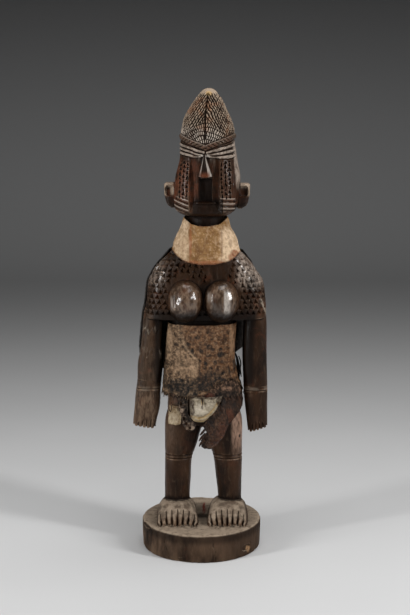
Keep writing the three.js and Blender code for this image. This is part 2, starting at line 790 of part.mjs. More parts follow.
// Knife notches over the shoulders, outside the breasts and the plain patch
function shoulderNotches() {
  const cuts = [];
  const probe = 0.05;
  for (let row = 0; row < NOTCH_ROWS; row += 1) {
    const z = NOTCH_TOP - NOTCH_ROW * row;
    const start = NOTCH_START * (1 + (row % 2));
    for (const side of [-1, 1]) {
      let angle = FRONT + side * start;
      while (Math.abs(angle - FRONT) < BACK + NOTCH_BEHIND) {
        const point = shoulders.at(z, angle);
        if (isNotched(side * (point.x - SHOULDERS[1].x), z, side)) {
          cuts.push(notch(point, shoulders.outward(z, angle), NOTCH, NOTCH_DEPTH));
        }
        const onward = shoulders.at(z, angle + side * probe).distanceTo(point);
        angle += (side * probe * NOTCH_STEP) / onward;
      }
    }
  }
  return cuts;
}

// Whether a notch belongs at a distance from the middle and a height
function isNotched(distance, z, side) {
  const breastEdge = 2 * BREAST.wide + NOTCH_CLEAR + (BREAST.z - z) / 4;
  const onBreast = z < BREAST.z + BREAST.high + NOTCH_CLEAR && distance < breastEdge;
  const { low, high, near, far } = PLAIN_PATCH;
  const onPatch = side > 0 && z > low && z < high && distance > near && distance < far;
  return !onBreast && !onPatch;
}

function figureSolid() {
  let body = plainBody().add(baseSolid());
  for (const foot of feet) {
    body = body.add(foot.solid({ sides: FOOT_SIDES, step: FOOT_STEP }));
  }
  body = body.add(breastSolid(0)).add(breastSolid(1));
  let face = head.solid({ sides: HEAD_SIDES, step: HEAD_STEP });
  for (const cut of [...faceLines(), ...faceCuts()]) {
    face = face.subtract(cut);
  }
  face = face.add(noseSolid());
  face = face.subtract(box([-MOUTH_HALF, -OUTSIDE, MOUTH_BOTTOM], [MOUTH_HALF, -MOUTH_DEPTH, MOUTH_TOP], headPlace));
  const lip = [[-PLANE_INNER, -LIP_REACH, MOUTH_BOTTOM - LIP_HEIGHT], [PLANE_INNER, -PLANE_DEPTH, MOUTH_BOTTOM]];
  face = face.add(box(...lip, headPlace));
  face = face.add(earSolid(-1)).add(earSolid(1)).add(bandSolid());
  for (const cut of hairGrooves()) {
    face = face.subtract(cut);
  }
  body = body.add(face);
  const cuts = [...shoulderNotches(), ...arms.flatMap(fingerGrooves), ...feet.flatMap(toeGrooves)];
  for (const cut of cuts) {
    body = body.subtract(cut);
  }
  return largestPiece(body);
}

// Without the loose crumbs that crossing cuts leave
function largestPiece(solid) {
  return solid.decompose().reduce((most, piece) => (piece.volume() > most.volume() ? piece : most));
}

// Straight lines between pairs of position and value
function along(pairs, position) {
  let i = 0;
  while (i < pairs.length - 2 && position > pairs[i + 1][0]) {
    i += 1;
  }
  const [from, low] = pairs[i];
  const [to, high] = pairs[i + 1];
  return THREE.MathUtils.lerp(low, high, (position - from) / (to - from));
}

// A hide that lies on a form: place(u, v) gives the angle and height on it, and u runs round and v down.
function hideSheet(form, place, { columns, rows, inner = 0, outer, closed = false }) {
  const stops = closed ? columns : columns + 1;
  const positions = [];
  const triangles = [];
  for (const grow of [inner, outer]) {
    for (let row = 0; row <= rows; row += 1) {
      for (let column = 0; column < stops; column += 1) {
        const { angle, z } = place(column / columns, row / rows);
        positions.push(...form.at(z, angle, grow));
      }
    }
  }
  const outside = stops * (rows + 1);
  const quad = (a, b, c, d) => triangles.push(a, b, c, a, c, d);
  for (let row = 0; row < rows; row += 1) {
    for (let column = 0; column < columns; column += 1) {
      const a = row * stops + column;
      const b = row * stops + ((column + 1) % stops);
      quad(a, b, b + stops, a + stops);
      quad(outside + a, outside + a + stops, outside + b + stops, outside + b);
    }
  }
  for (let column = 0; column < columns; column += 1) {
    const a = column;
    const b = (column + 1) % stops;
    const low = rows * stops;
    quad(a, outside + a, outside + b, b);
    quad(low + a, low + b, outside + low + b, outside + low + a);
  }
  if (!closed) {
    for (let row = 0; row < rows; row += 1) {
      const a = row * stops;
      const b = a + stops - 1;
      quad(a, a + stops, outside + a + stops, outside + a);
      quad(b, outside + b, outside + b + stops, b + stops);
    }
  }
  return solidOf(positions, triangles);
}

// The height of a hide's edge at an angle: one value in front, one behind and one on each side
function edgeHeight(edge, angle) {
  const side = Math.cos(angle) > 0 ? edge.right ?? edge.side : edge.left ?? edge.side;
  const middle = Math.sin(angle) < 0 ? edge.front : edge.back;
  return THREE.MathUtils.lerp(side, middle, Math.abs(Math.sin(angle)) ** EDGE_POWER);
}

function collarSolid(swell = 0) {
  const place = (u, v) => {
    const angle = FULL_TURN * u;
    const top = edgeHeight(COLLAR_HIGH, angle) + swell;
    const bottom = edgeHeight(COLLAR_LOW, angle) - swell;
    return { angle, z: THREE.MathUtils.lerp(top, bottom, v) };
  };
  const sides = { inner: -swell, outer: RAWHIDE + swell };
  return hideSheet(new Form(COLLAR), place, { columns: COLLAR_COLUMNS, rows: COLLAR_ROWS, closed: true, ...sides });
}

function wrapSolid() {
  const place = (u, v) => {
    const angle = FULL_TURN * u;
    const ragged = WRAP_TORN * Math.max(0, Math.cos(angle + WRAP_TORN_ANGLE)) + Math.sin(WRAP_WAVES * angle);
    return { angle, z: THREE.MathUtils.lerp(WRAP_TOP, edgeHeight(WRAP_LOW, angle) + ragged, v) };
  };
  return hideSheet(new Form(WRAP), place, { columns: WRAP_COLUMNS, rows: WRAP_ROWS, outer: HIDE, closed: true });
}

function capeSolid() {
  const place = (u, v) => {
    const right = along(CAPE_RIGHT_ANGLES, v);
    return {
      angle: THREE.MathUtils.lerp(CAPE_LEFT_ANGLE, right, u),
      z: THREE.MathUtils.lerp(along(CAPE_RIM, u), along(CAPE_HEM, u), v),
    };
  };
  const cape = hideSheet(new Form(CAPE), place, { columns: CAPE_COLUMNS, rows: CAPE_ROWS, outer: HIDE });
  return cape.subtract(prism(CAPE_HOLE, true));
}

// A prism that runs forwards from y = 0, or backwards, from an outline seen from the front
function prism(outline, backwards = false) {
  const shape = new THREE.Shape(outline.map(([x, z]) => new THREE.Vector2(x, z)));
  const geometry = new THREE.ExtrudeGeometry(shape, { depth: OUTSIDE, bevelEnabled: false });
  geometry.rotateX(Math.PI / 2);
  geometry.translate(0, backwards ? OUTSIDE : 0, 0);
  return solidFrom(geometry);
}

function holeOutline([x, z]) {
  const rim = [];
  for (let i = 0; i < STRIP_HOLE.sides; i += 1) {
    const angle = (FULL_TURN * i) / STRIP_HOLE.sides;
    rim.push([x + STRIP_HOLE.wide * Math.cos(angle), z + STRIP_HOLE.high * Math.sin(angle)]);
  }
  return rim;
}

// A flat outline pressed on to the apron's surface
function hangingPiece(outline, layer, holes = []) {
  const apron = new Form(APRON);
  const outer = apron.solid({ sides: APRON_SIDES, step: APRON_STEP, grow: layer + LAYER });
  const inner = apron.solid({ sides: APRON_SIDES, step: APRON_STEP, grow: layer });
  let piece = outer.subtract(inner).intersect(prism(outline));
  for (const hole of holes) {
    piece = piece.subtract(prism(holeOutline(hole)));
  }
  return piece;
}

function pouchSolid() {
  const geometry = new THREE.SphereGeometry(1, POUCH_SIDES, POUCH_RINGS);
  geometry.scale(POUCH.wide, POUCH.deep, POUCH.high);
  geometry.translate(POUCH.x, POUCH.y, POUCH.z);
  const grow = UPPER_LAYER + LAYER + CLEARANCE;
  const behind = new Form(APRON).solid({ sides: APRON_SIDES, step: APRON_STEP, grow });
  return solidFrom(geometry).subtract(behind);
}

function meshOf(solid, name, material) {
  const { vertProperties, triVerts } = solid.getMesh();
  const geometry = new THREE.BufferGeometry();
  geometry.setAttribute("position", new THREE.BufferAttribute(new Float32Array(vertProperties), 3));
  geometry.setIndex(new THREE.BufferAttribute(new Uint32Array(triVerts), 1));
  geometry.computeVertexNormals();
  const mesh = new THREE.Mesh(geometry, material);
  mesh.name = name;
  return mesh;
}

const finish = (color, roughness) => new THREE.MeshStandardMaterial({ color, roughness, metalness: 0 });
const darkWood = finish(0x3a2a22, 0.45);
const rawhide = finish(0xb28f5e, 0.75);
const spottedHide = finish(0x765e45, 0.8);
const darkLeather = finish(0x1c1512, 0.6);
const paleRawhide = finish(0xb0a486, 0.75);
const yellowRawhide = finish(0xb39a6a, 0.75);
const brownLeather = finish(0x3a2a20, 0.65);
const greyHide = finish(0x5a4a3c, 0.8);

const clearance = plainBody(CLEARANCE);
const fitted = (solid) => largestPiece(solid.subtract(clearance));

const figure = new THREE.Group();
figure.add(meshOf(figureSolid(), "figure", darkWood));

const clothing = new THREE.Group();
clothing.add(meshOf(fitted(collarSolid()), "collar", rawhide));
clothing.add(meshOf(fitted(capeSolid().subtract(collarSolid(CLEARANCE))), "cape", darkLeather));
clothing.add(meshOf(fitted(wrapSolid()), "waist_wrap", spottedHide));
clothing.add(meshOf(fitted(hangingPiece(THIGH_FLAP, UNDER_LAYER)), "thigh_flap", yellowRawhide));
clothing.add(meshOf(fitted(hangingPiece(RIGHT_STRIP, UNDER_LAYER)), "right_strip", greyHide));
clothing.add(meshOf(fitted(hangingPiece(LEFT_STRIP, UPPER_LAYER, STRIP_HOLES)), "left_strip", greyHide));
clothing.add(meshOf(fitted(hangingPiece(HIP_FLAP, UPPER_LAYER)), "hip_flap", brownLeather));
clothing.add(meshOf(fitted(pouchSolid()), "pubic_pouch", paleRawhide));
figure.add(clothing);

export default figure;
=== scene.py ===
"""Standing fertility figure of dark carved wood, dressed in rawhide, hide and leather.

The figure faces -Y, +Z is up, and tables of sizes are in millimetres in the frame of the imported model.
"""

import logging
import math
from dataclasses import dataclass, field
from enum import Enum
from typing import Callable, Optional, Sequence

import bpy
import numpy as np
from mathutils import Matrix, Vector


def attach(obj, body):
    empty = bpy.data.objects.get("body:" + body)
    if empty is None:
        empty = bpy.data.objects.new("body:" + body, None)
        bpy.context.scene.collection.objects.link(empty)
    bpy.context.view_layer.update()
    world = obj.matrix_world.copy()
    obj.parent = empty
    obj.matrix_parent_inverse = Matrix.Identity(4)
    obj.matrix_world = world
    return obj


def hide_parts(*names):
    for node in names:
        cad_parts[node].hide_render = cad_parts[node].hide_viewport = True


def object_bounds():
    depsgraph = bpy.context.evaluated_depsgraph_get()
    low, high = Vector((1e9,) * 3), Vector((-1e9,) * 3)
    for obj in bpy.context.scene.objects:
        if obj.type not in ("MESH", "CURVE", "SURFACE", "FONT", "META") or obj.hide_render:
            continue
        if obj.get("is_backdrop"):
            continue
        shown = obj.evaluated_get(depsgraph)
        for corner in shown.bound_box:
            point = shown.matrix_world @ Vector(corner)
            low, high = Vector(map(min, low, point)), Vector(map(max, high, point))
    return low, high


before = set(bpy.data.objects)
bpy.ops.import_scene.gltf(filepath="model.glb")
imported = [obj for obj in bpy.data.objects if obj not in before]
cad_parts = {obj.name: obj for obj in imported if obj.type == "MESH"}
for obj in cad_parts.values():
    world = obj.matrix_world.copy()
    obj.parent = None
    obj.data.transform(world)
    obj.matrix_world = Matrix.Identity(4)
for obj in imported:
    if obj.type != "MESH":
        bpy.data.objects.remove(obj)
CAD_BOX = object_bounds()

LOG = logging.getLogger("fertility_figure")
MM = 0.001
FRONT = -math.pi / 2
BACK = math.pi / 2
Array = np.ndarray
Pair = tuple[float, float]
Colour = tuple[float, float, float]


# Numbers that vary smoothly


def smooth(low: float, high: float, value: Array) -> Array:
    """Returns 0 below low, 1 above high and a soft step between them; low may be the larger."""
    t = np.clip((value - low) / (high - low), 0.0, 1.0)
    return t * t * (3.0 - 2.0 * t)


def noise(points: Array, cell: float, seed: int = 0, octaves: int = 1) -> Array:
    """Makes smooth random values over space.

    Args:
        points: Places in mm, of shape (..., 3).
        cell: Size of the largest lumps in mm.
        seed: Which of the patterns to use.
        octaves: How many layers, each half the size and strength of the one before.

    Returns:
        Values from about -1 to 1, of the points' shape without the last axis.
    """
    total = np.zeros(points.shape[:-1])
    strength, weight = 1.0, 0.0
    for octave in range(octaves):
        place = points / (cell / 2**octave)
        low = np.floor(place).astype(np.int64)
        share = place - low
        share = share * share * (3.0 - 2.0 * share)
        value = np.zeros(points.shape[:-1])
        for corner in range(8):
            step = np.array([(corner >> axis) & 1 for axis in range(3)])
            key = (low + step) * np.array([73856093, 19349663, 83492791])
            mixed = (key[..., 0] ^ key[..., 1] ^ key[..., 2]) + (seed + octave) * 668265263
            mixed = ((mixed ^ (mixed >> 13)) * 1274126177) & 0x7FFFFFFF
            mixed = (mixed ^ (mixed >> 16)) & 0xFFFF
            part = np.where(step == 1, share, 1.0 - share).prod(axis=-1)
            value += part * (mixed / 32767.5 - 1.0)
        total += strength * value
        weight += strength
        strength *= 0.5
    return total / weight


def saw(value: Array) -> Array:
    """Returns 1 at whole numbers, falling to 0 halfway between them."""
    return np.abs(2 * (value - np.floor(value)) - 1)


def peak(value: Array, wide: float) -> Array:
    """Returns 1 at zero, falling straight to 0 at the width on both sides."""
    return np.clip(1 - np.abs(value) / wide, 0, 1)


def bell(value: Array, wide: float) -> Array:
    """Returns a bell curve of that width, 1 at zero."""
    return np.exp(-((value / wide) ** 2))


def crumple(points: Array, cell: float, seed: int) -> Array:
    """Returns creased relief, 1 along the creases and near 0 between them."""
    broad = 1 - 2.2 * np.abs(noise(points, cell, seed, 2))
    small = 1 - 2.2 * np.abs(noise(points, cell * 0.42, seed + 1, 2))
    return np.clip(0.62 * broad + 0.38 * small, 0, 1)


def line_distance(x: Array, z: Array, line: Sequence[Pair]) -> Array:
    """Returns the distance in mm from each place (x, z) to a line of straight stretches."""
    nearest = np.full(np.shape(x), 1e6)
    for (x0, z0), (x1, z1) in zip(line[:-1], line[1:]):
        dx, dz = x1 - x0, z1 - z0
        t = np.clip(((x - x0) * dx + (z - z0) * dz) / (dx * dx + dz * dz), 0.0, 1.0)
        nearest = np.minimum(nearest, np.hypot(x - x0 - t * dx, z - z0 - t * dz))
    return nearest


def knife_line(x: Array, z: Array, line: Sequence[Pair], width: float) -> Array:
    """Returns 1 in the middle of a cut along the line, falling to 0 at half its width."""
    return np.clip(1.0 - 2.0 * line_distance(x, z, line) / width, 0.0, 1.0)


def along(pairs: Sequence[Pair], place: Array) -> Array:
    """Returns straight lines between pairs of place and value."""
    table = np.array(pairs)
    return np.interp(place, table[:, 0], table[:, 1])


def line_at(line: Sequence[Pair], z: Array) -> Array:
    """Returns how far across a line is at the heights z, where its corners (x, z) run downwards."""
    return along([(height, x) for x, height in line[::-1]], z)


# Meshes


def plain_mesh(name: str, points: Array, edges: Sequence, faces: Sequence) -> bpy.types.Mesh:
    """Returns a Blender mesh made from points in metres, edges and faces."""
    mesh = bpy.data.meshes.new(name)
    mesh.from_pydata(points.tolist(), edges, faces)
    return mesh


@dataclass
class Shell:
    """A closed surface as points in mm and faces."""

    points: Array
    faces: list

    def mesh(self, name: str) -> bpy.types.Mesh:
        """Returns a Blender mesh in metres."""
        mesh = plain_mesh(name, self.points * MM, [], self.faces)
        mesh.update()
        return mesh


def ring_shell(rings: Array) -> Shell:
    """Closes a stack of rings, of shape (rows, columns, 3), with a fan at each end."""
    rows, columns = rings.shape[:2]
    index = np.arange(rows * columns).reshape(rows, columns)
    right = np.roll(index, -1, axis=1)
    quads = np.stack([index[:-1], right[:-1], right[1:], index[1:]], axis=-1).reshape(-1, 4)
    low, high = rows * columns, rows * columns + 1
    faces = quads.tolist()
    faces += [[low, b, a] for a, b in zip(index[0].tolist(), right[0].tolist())]
    faces += [[high, a, b] for a, b in zip(index[-1].tolist(), right[-1].tolist())]
    poles = np.stack([rings[0].mean(axis=0), rings[-1].mean(axis=0)])
    return Shell(np.concatenate([rings.reshape(-1, 3), poles]), faces)


def slab_shell(outer: Array, inner: Array, closed: bool = False) -> Shell:
    """Closes two grids of the same shape, (rows, columns, 3), into one thin wall.

    Args:
        outer: The visible side; its columns run anticlockwise from above and its rows downwards.
        inner: The hidden side.
        closed: Whether the last column joins the first.

    Returns:
        The wall as one closed shell.
    """
    rows, columns = outer.shape[:2]
    count = rows * columns
    index = np.arange(count).reshape(rows, columns)
    if closed:
        index = np.concatenate([index, index[:, :1]], axis=1)
    a, b, c, d = index[:-1, :-1], index[:-1, 1:], index[1:, 1:], index[1:, :-1]
    faces = np.stack([a, d, c, b], axis=-1).reshape(-1, 4).tolist()
    faces += np.stack([a + count, b + count, c + count, d + count], axis=-1).reshape(-1, 4).tolist()
    sides = [(index[0, :-1], index[0, 1:]), (index[-1, 1:], index[-1, :-1])]
    if not closed:
        sides += [(index[1:, 0], index[:-1, 0]), (index[:-1, -1], index[1:, -1])]
    for start, end in sides:
        faces += np.stack([start, end, end + count, start + count], axis=-1).tolist()
    return Shell(np.concatenate([outer.reshape(-1, 3), inner.reshape(-1, 3)]), faces)


def evaluated(holder: bpy.types.Object, name: str) -> bpy.types.Mesh:
    """Returns the holder's mesh with its modifiers applied, and removes the holder."""
    graph = bpy.context.evaluated_depsgraph_get()
    mesh = bpy.data.meshes.new_from_object(holder.evaluated_get(graph))
    mesh.name = name
    bpy.data.objects.remove(holder)
    return mesh


def hold(mesh: bpy.types.Mesh) -> bpy.types.Object:
    """Returns a new object in the scene that holds the mesh."""
    holder = bpy.data.objects.new(mesh.name, mesh)
    bpy.context.scene.collection.objects.link(holder)
    return holder


def thinned(mesh: bpy.types.Mesh, triangles: int) -> bpy.types.Mesh:
    """Returns the mesh with fewer faces where it is smooth, down to about that many triangles."""
    count = sum(len(face.vertices) - 2 for face in mesh.polygons)
    if count <= triangles:
        return mesh
    holder = hold(mesh)
    modifier = holder.modifiers.new("thin", "DECIMATE")
    modifier.ratio = triangles / count
    modifier.use_collapse_triangulate = True
    return evaluated(holder, mesh.name)


class Join(Enum):
    """How two closed meshes are put together."""

    ADD = "UNION"
    CUT = "DIFFERENCE"


def joined(mesh: bpy.types.Mesh, other: bpy.types.Mesh, how: Join) -> bpy.types.Mesh:
    """Returns the two closed meshes added together, or the first cut by the other."""
    holder, tool = hold(mesh), hold(other)
    modifier = holder.modifiers.new("join", "BOOLEAN")
    modifier.operation = how.value
    modifier.solver = "MANIFOLD"
    modifier.object = tool
    result = evaluated(holder, mesh.name)
    bpy.data.objects.remove(tool)
    return result


# Carved forms


@dataclass
class Patch:
    """Places on a form's surface, in the form's own frame, for a carver's relief to read."""

    points: Array
    angle: Array
    level: Array
    body: Array

    @property
    def x(self) -> Array:
        """Returns the place across."""
        return self.points[..., 0]

    @property
    def y(self) -> Array:
        """Returns the place in depth, negative in front."""
        return self.points[..., 1]

    @property
    def z(self) -> Array:
        """Returns the height."""
        return self.points[..., 2]


    def noise(self, cell: float, seed: int, octaves: int = 1) -> Array:
        """Returns smooth random values over the places."""
        return noise(self.points, cell, seed, octaves)


Relief = Callable[[Patch], Array]


@dataclass
class Form:
    """A carved form with rounded rectangles for cross sections.

    Each section gives the height, centre, half width, half depth in front and behind,
    squareness and end slope.
    """

    sections: Sequence[Sequence[float]]
    place: Matrix = field(default_factory=lambda: Matrix.Identity(4))

    def __post_init__(self) -> None:
        """Fills in the usual squareness and slope."""
        usual = [2.6, 0.0]
        self.table = np.array([list(row) + usual[len(row) - 5:] for row in self.sections])

    @property
    def low(self) -> float:
        """Returns the lowest level."""
        return float(self.table[0, 0])

    @property
    def high(self) -> float:
        """Returns the highest level."""
        return float(self.table[-1, 0])

    def blend(self, z: Array) -> Array:
        """Returns the sizes at heights z by a cubic through the sections, one row for each size."""
        table, last = self.table, len(self.table) - 1
        z = np.asarray(z, dtype=float)
        i = np.searchsorted(table[1:-1, 0], z, side="left")
        before, low, high, after = table[np.maximum(i - 1, 0)], table[i], table[i + 1], table[np.minimum(i + 2, last)]
        span = (high[..., 0] - low[..., 0])[..., None]
        t = np.clip((z - low[..., 0])[..., None] / span, 0.0, 1.0)
        gap_low = (high[..., :1] - before[..., :1])
        gap_high = (after[..., :1] - low[..., :1])
        slope_low = (high - before) / gap_low * span
        slope_high = (after - low) / gap_high * span
        value = low + (high - low) * t * t * (3 - 2 * t) + t * (1 - t) * ((1 - t) * slope_low - t * slope_high)
        return np.moveaxis(value[..., 1:], -1, 0)

    def local(self, z: Array, angle: Array, grow: Array = 0.0, share: Array = 1.0) -> Array:
        """Returns surface points in the form's own frame."""
        x0, wide, front, back, square, slope = self.blend(z)
        c, s = np.cos(angle), np.sin(angle)
        k = (np.abs(c) ** square + np.abs(s) ** square) ** (1 / square)
        x = share * (wide + grow) * c / k
        y = share * (np.where(s < 0, front, back) + grow) * s / k
        return np.stack([x0 + x, y, z + slope * x], axis=-1)

    def placed(self, points: Array) -> Array:
        """Returns points of the form's own frame in the figure's frame."""
        turn = np.array(self.place)
        return points @ turn[:3, :3].T + turn[:3, 3]

    def rings(self, angles: Array, step: float, rim: Pair, relief: Optional[Relief] = None,
              carve: Optional[Callable[[Patch], Array]] = None) -> Array:
        """Makes the rings of the whole form, ends included.

        Args:
            angles: Angles of the columns.
            step: Distance between rings.
            rim: Radius of the lower and upper edge.
            relief: Gives how far each place is moved outwards, in mm.
            carve: Gives new places, after the relief.

        Returns:
            Rings of shape (rows, columns, 3) in the figure's frame.
        """
        turns = np.linspace(0.0, BACK, 6)
        flat = np.array([0.12, 0.3, 0.5, 0.7, 0.85, 0.95])
        low = self.low + rim[0] * (1 - np.cos(turns))
        high = self.high - rim[1] * (1 - np.cos(turns))
        between = np.linspace(low[-1], high[-1], max(2, int((high[-1] - low[-1]) / step)))[1:-1]
        level = np.concatenate([np.full(6, self.low), low, between, high[::-1], np.full(6, self.high)])
        inset = np.concatenate([
            np.full(6, rim[0]), rim[0] * (1 - np.sin(turns)), np.zeros(len(between)),
            rim[1] * (1 - np.sin(turns[::-1])), np.full(6, rim[1]),
        ])
        share = np.concatenate([flat, np.ones(12 + len(between)), flat[::-1]])
        z, angle = np.meshgrid(level, angles, indexing="ij")
        points = self.local(z, angle, -inset[:, None], share[:, None])
        body = np.broadcast_to((share == 1.0)[:, None], z.shape).astype(float)
        patch = Patch(points, angle, z, body)
        if relief is not None:
            move = relief(patch)
            points = points + move[..., None] * grid_normals(points)
            patch = Patch(points, angle, z, body)
        if carve is not None:
            points = carve(patch)
        return self.placed(points)


def grid_normals(points: Array) -> Array:
    """Returns the outward directions of a grid whose columns run round and whose rows run up."""
    around = np.roll(points, -1, axis=1) - np.roll(points, 1, axis=1)
    up = np.gradient(points, axis=0)
    normal = np.cross(around, up)
    return normal / np.maximum(np.linalg.norm(normal, axis=-1, keepdims=True), 1e-9)


def even_angles(count: int) -> Array:
    """Returns evenly spaced angles round a form."""
    return np.linspace(-math.pi, math.pi, count, endpoint=False)


def front_angles(front: int, back: int) -> Array:
    """Returns angles that are closer in front than behind."""
    return np.concatenate([
        np.linspace(-math.pi, 0, front, endpoint=False),
        np.linspace(0, math.pi, back, endpoint=False),
    ])


def wrapped(angle: Array) -> Array:
    """Returns the angle between -pi and pi."""
    return (angle + math.pi) % (2 * math.pi) - math.pi


def oval(columns: int, rows: int) -> tuple[Array, Array]:
    """Returns the directions of a ball's rings from the bottom up, and their heights."""
    rise = np.linspace(-BACK, BACK, rows + 2)[1:-1]
    z, angle = np.meshgrid(rise, even_angles(columns), indexing="ij")
    ball = np.stack([np.cos(z) * np.cos(angle), np.cos(z) * np.sin(angle), np.sin(z)], axis=-1)
    return ball, z


# The carved wood


@dataclass
class Carving:
    """One carved mass of the figure: its form, how finely it is cut and its relief."""

    name: str
    form: Form
    columns: Array
    step: float
    rim: Pair = (2.0, 2.0)
    relief: Optional[Relief] = None
    carve: Optional[Callable[[Patch], Array]] = None

    def mesh(self) -> bpy.types.Mesh:
        """Returns the mass as a closed mesh."""
        rings = self.form.rings(self.columns, self.step, self.rim, self.relief, self.carve)
        return ring_shell(rings).mesh(self.name)


@dataclass
class Head:
    """The head: a tall cone of plaited hair above a flat face, with cup-shaped ears."""

    across: float = 10.0
    turn: float = math.radians(-6)
    sections: tuple = (
        (501, -1, 30, 27, 27, 2.6), (504, -1.6, 37, 33.5, 34, 2.6), (510, -1.6, 43.5, 38, 39, 2.8),
        (523, -0.5, 47, 40.5, 42, 2.8), (543, 0.5, 47, 41, 43, 2.8), (558, 1.2, 46.3, 41, 43, 2.8),
        (569, 1.7, 43.8, 40.5, 42.5, 2.7), (580, 2, 41.5, 39.5, 42, 2.6), (592, 1.7, 40, 39, 41, 2.5),
        (604, 1, 39, 38.5, 40, 2.3), (620, 1, 38.6, 38, 39, 2.1), (632, 1, 36.4, 36, 37, 2),
        (643, 0.5, 32.8, 32.8, 33.5, 2), (654, 1, 27, 27, 27.5, 2), (666, 2, 20.5, 20.5, 20.5, 2),
        (675, 2.5, 13.8, 13.8, 13.8, 2), (681, 2.7, 7.6, 7.6, 7.6, 2), (683, 2.7, 3.5, 3.5, 3.5, 2),
    )
    band_side: float = 615.0
    band_middle: float = 600.5
    band_half: float = 3.5
    band_proud: float = 2.0
    strand: float = 3.8
    strand_lean: float = math.radians(34)
    brow: float = 588.0
    nose_tip: float = 561.0
    mouth_depth: float = -29.5
    ridges: tuple = (
        ((-37, 604.5), (-1, 594.6)), ((-36, 598.3), (-4, 590.8)), ((-36, 592.4), (-6.5, 587.6)),
        ((39.5, 604), (4, 593.8)), ((39.5, 596), (5.5, 590.3)), ((39.5, 588.6), (8, 587.2)),
    )
    cheek_columns: tuple = (24.6, 30.2, 35.8)
    cheek_row: float = 6.4
    corner_lines: tuple = (525.0, 517.5, 510.5)
    ear_low: float = 511.5
    ear_high: float = 547.3

    @property
    def place(self) -> Matrix:
        """Returns where the head stands on the neck."""
        return Matrix.Translation((self.across, 0, 0)) @ Matrix.Rotation(self.turn, 4, "Z")

    def band_level(self, angle: Array) -> Array:
        """Returns the height of the plaited band, lowest over the brow."""
        rise = self.band_middle + (self.band_side - self.band_middle) * np.abs(np.cos(angle)) ** 0.9
        return np.where(np.sin(angle) < 0, rise, self.band_side)

    def relief(self, patch: Patch) -> Array:
        """Returns the plaits, the band, the brow lines and the cheek marks."""
        turn = wrapped(patch.angle - FRONT)
        side = np.abs(turn) * np.hypot(patch.x, patch.y)
        over = patch.z - self.band_level(patch.angle)
        low = smooth(42, 36, over + 1.05 * np.abs(patch.x - 1.5) + 3.0 * patch.noise(12, 5))
        low = low * smooth(-6, -14, patch.y)
        hair = self.plaits(patch, turn) * (1 - low) + self.strokes(patch) * low
        middle = np.abs(wrapped(2 * turn)) * 0.5 * np.hypot(patch.x, patch.y)
        hair -= 1.7 * (1 - smooth(0.5, 2.0, middle)) * smooth(10, 18, over)
        hair -= 1.3 * np.clip(patch.noise(6, 8, 3), 0, 1)
        hair *= smooth(self.band_half, self.band_half + 2, over) * (1 - smooth(673, 679, patch.z))
        plait = np.clip(1 - (over / self.band_half) ** 2, 0, 1) ** 0.5
        cut = smooth(0.5, 1.0, saw((side + 1.1 * over) / 6.0))
        band = self.band_proud * plait - 1.7 * cut * plait
        band -= 1.2 * peak(np.abs(over) - self.band_half - 0.8, 1.3)
        return (hair + band + self.marks(patch)) * patch.body

    def plaits(self, patch: Patch, turn: Array) -> Array:
        """Returns the strands, which fall outwards from the middle lines in front and behind."""
        table = Form(self.sections).table
        levels = np.linspace(590.0, 683.0, 94)
        radius = np.interp(levels, table[:, 0], table[:, 2])
        steps = np.hypot(np.diff(levels), np.diff(radius))
        slant = np.concatenate([np.cumsum(steps[::-1])[::-1], [0.0]]) + 3.0
        rho = np.interp(patch.z, levels, slant)
        near = np.minimum(np.abs(turn), math.pi - np.abs(turn))
        open_angle = near * np.interp(patch.z, levels, radius) / rho
        across, down = rho * np.sin(open_angle), rho * np.cos(open_angle)
        lean = self.strand_lean + 0.03 * patch.noise(30, 3)
        wander = 1.5 * patch.noise(13, 4) + 0.9 * patch.noise(5, 9)
        place = (across * np.cos(lean) - down * np.sin(lean) + wander) / self.strand
        run = across * np.sin(lean) + down * np.cos(lean)
        strand = saw(place)
        twist = saw(run / 6.5 + 0.5 * place)
        return -2.1 * smooth(0.3, 0.9, strand) - 1.1 * smooth(0.6, 1.0, twist) * (1 - smooth(0.3, 0.8, strand))

    def strokes(self, patch: Patch) -> Array:
        """Returns the rows of short cuts that fan out above the middle of the band."""
        reach = np.hypot(patch.x - 1.5, patch.z - 586) + 1.5 * patch.noise(9, 6)
        spread = np.arctan2(patch.x - 1.5, patch.z - 586) + 0.05 * patch.noise(7, 7)
        row = reach / 5.4
        number = np.floor(row)
        count = spread * (number + 0.5) * 5.4 / 3.0 + 0.37 * number
        return -1.9 * smooth(0.3, 0.9, saw(count)) - 1.3 * smooth(0.66, 1.0, saw(row))

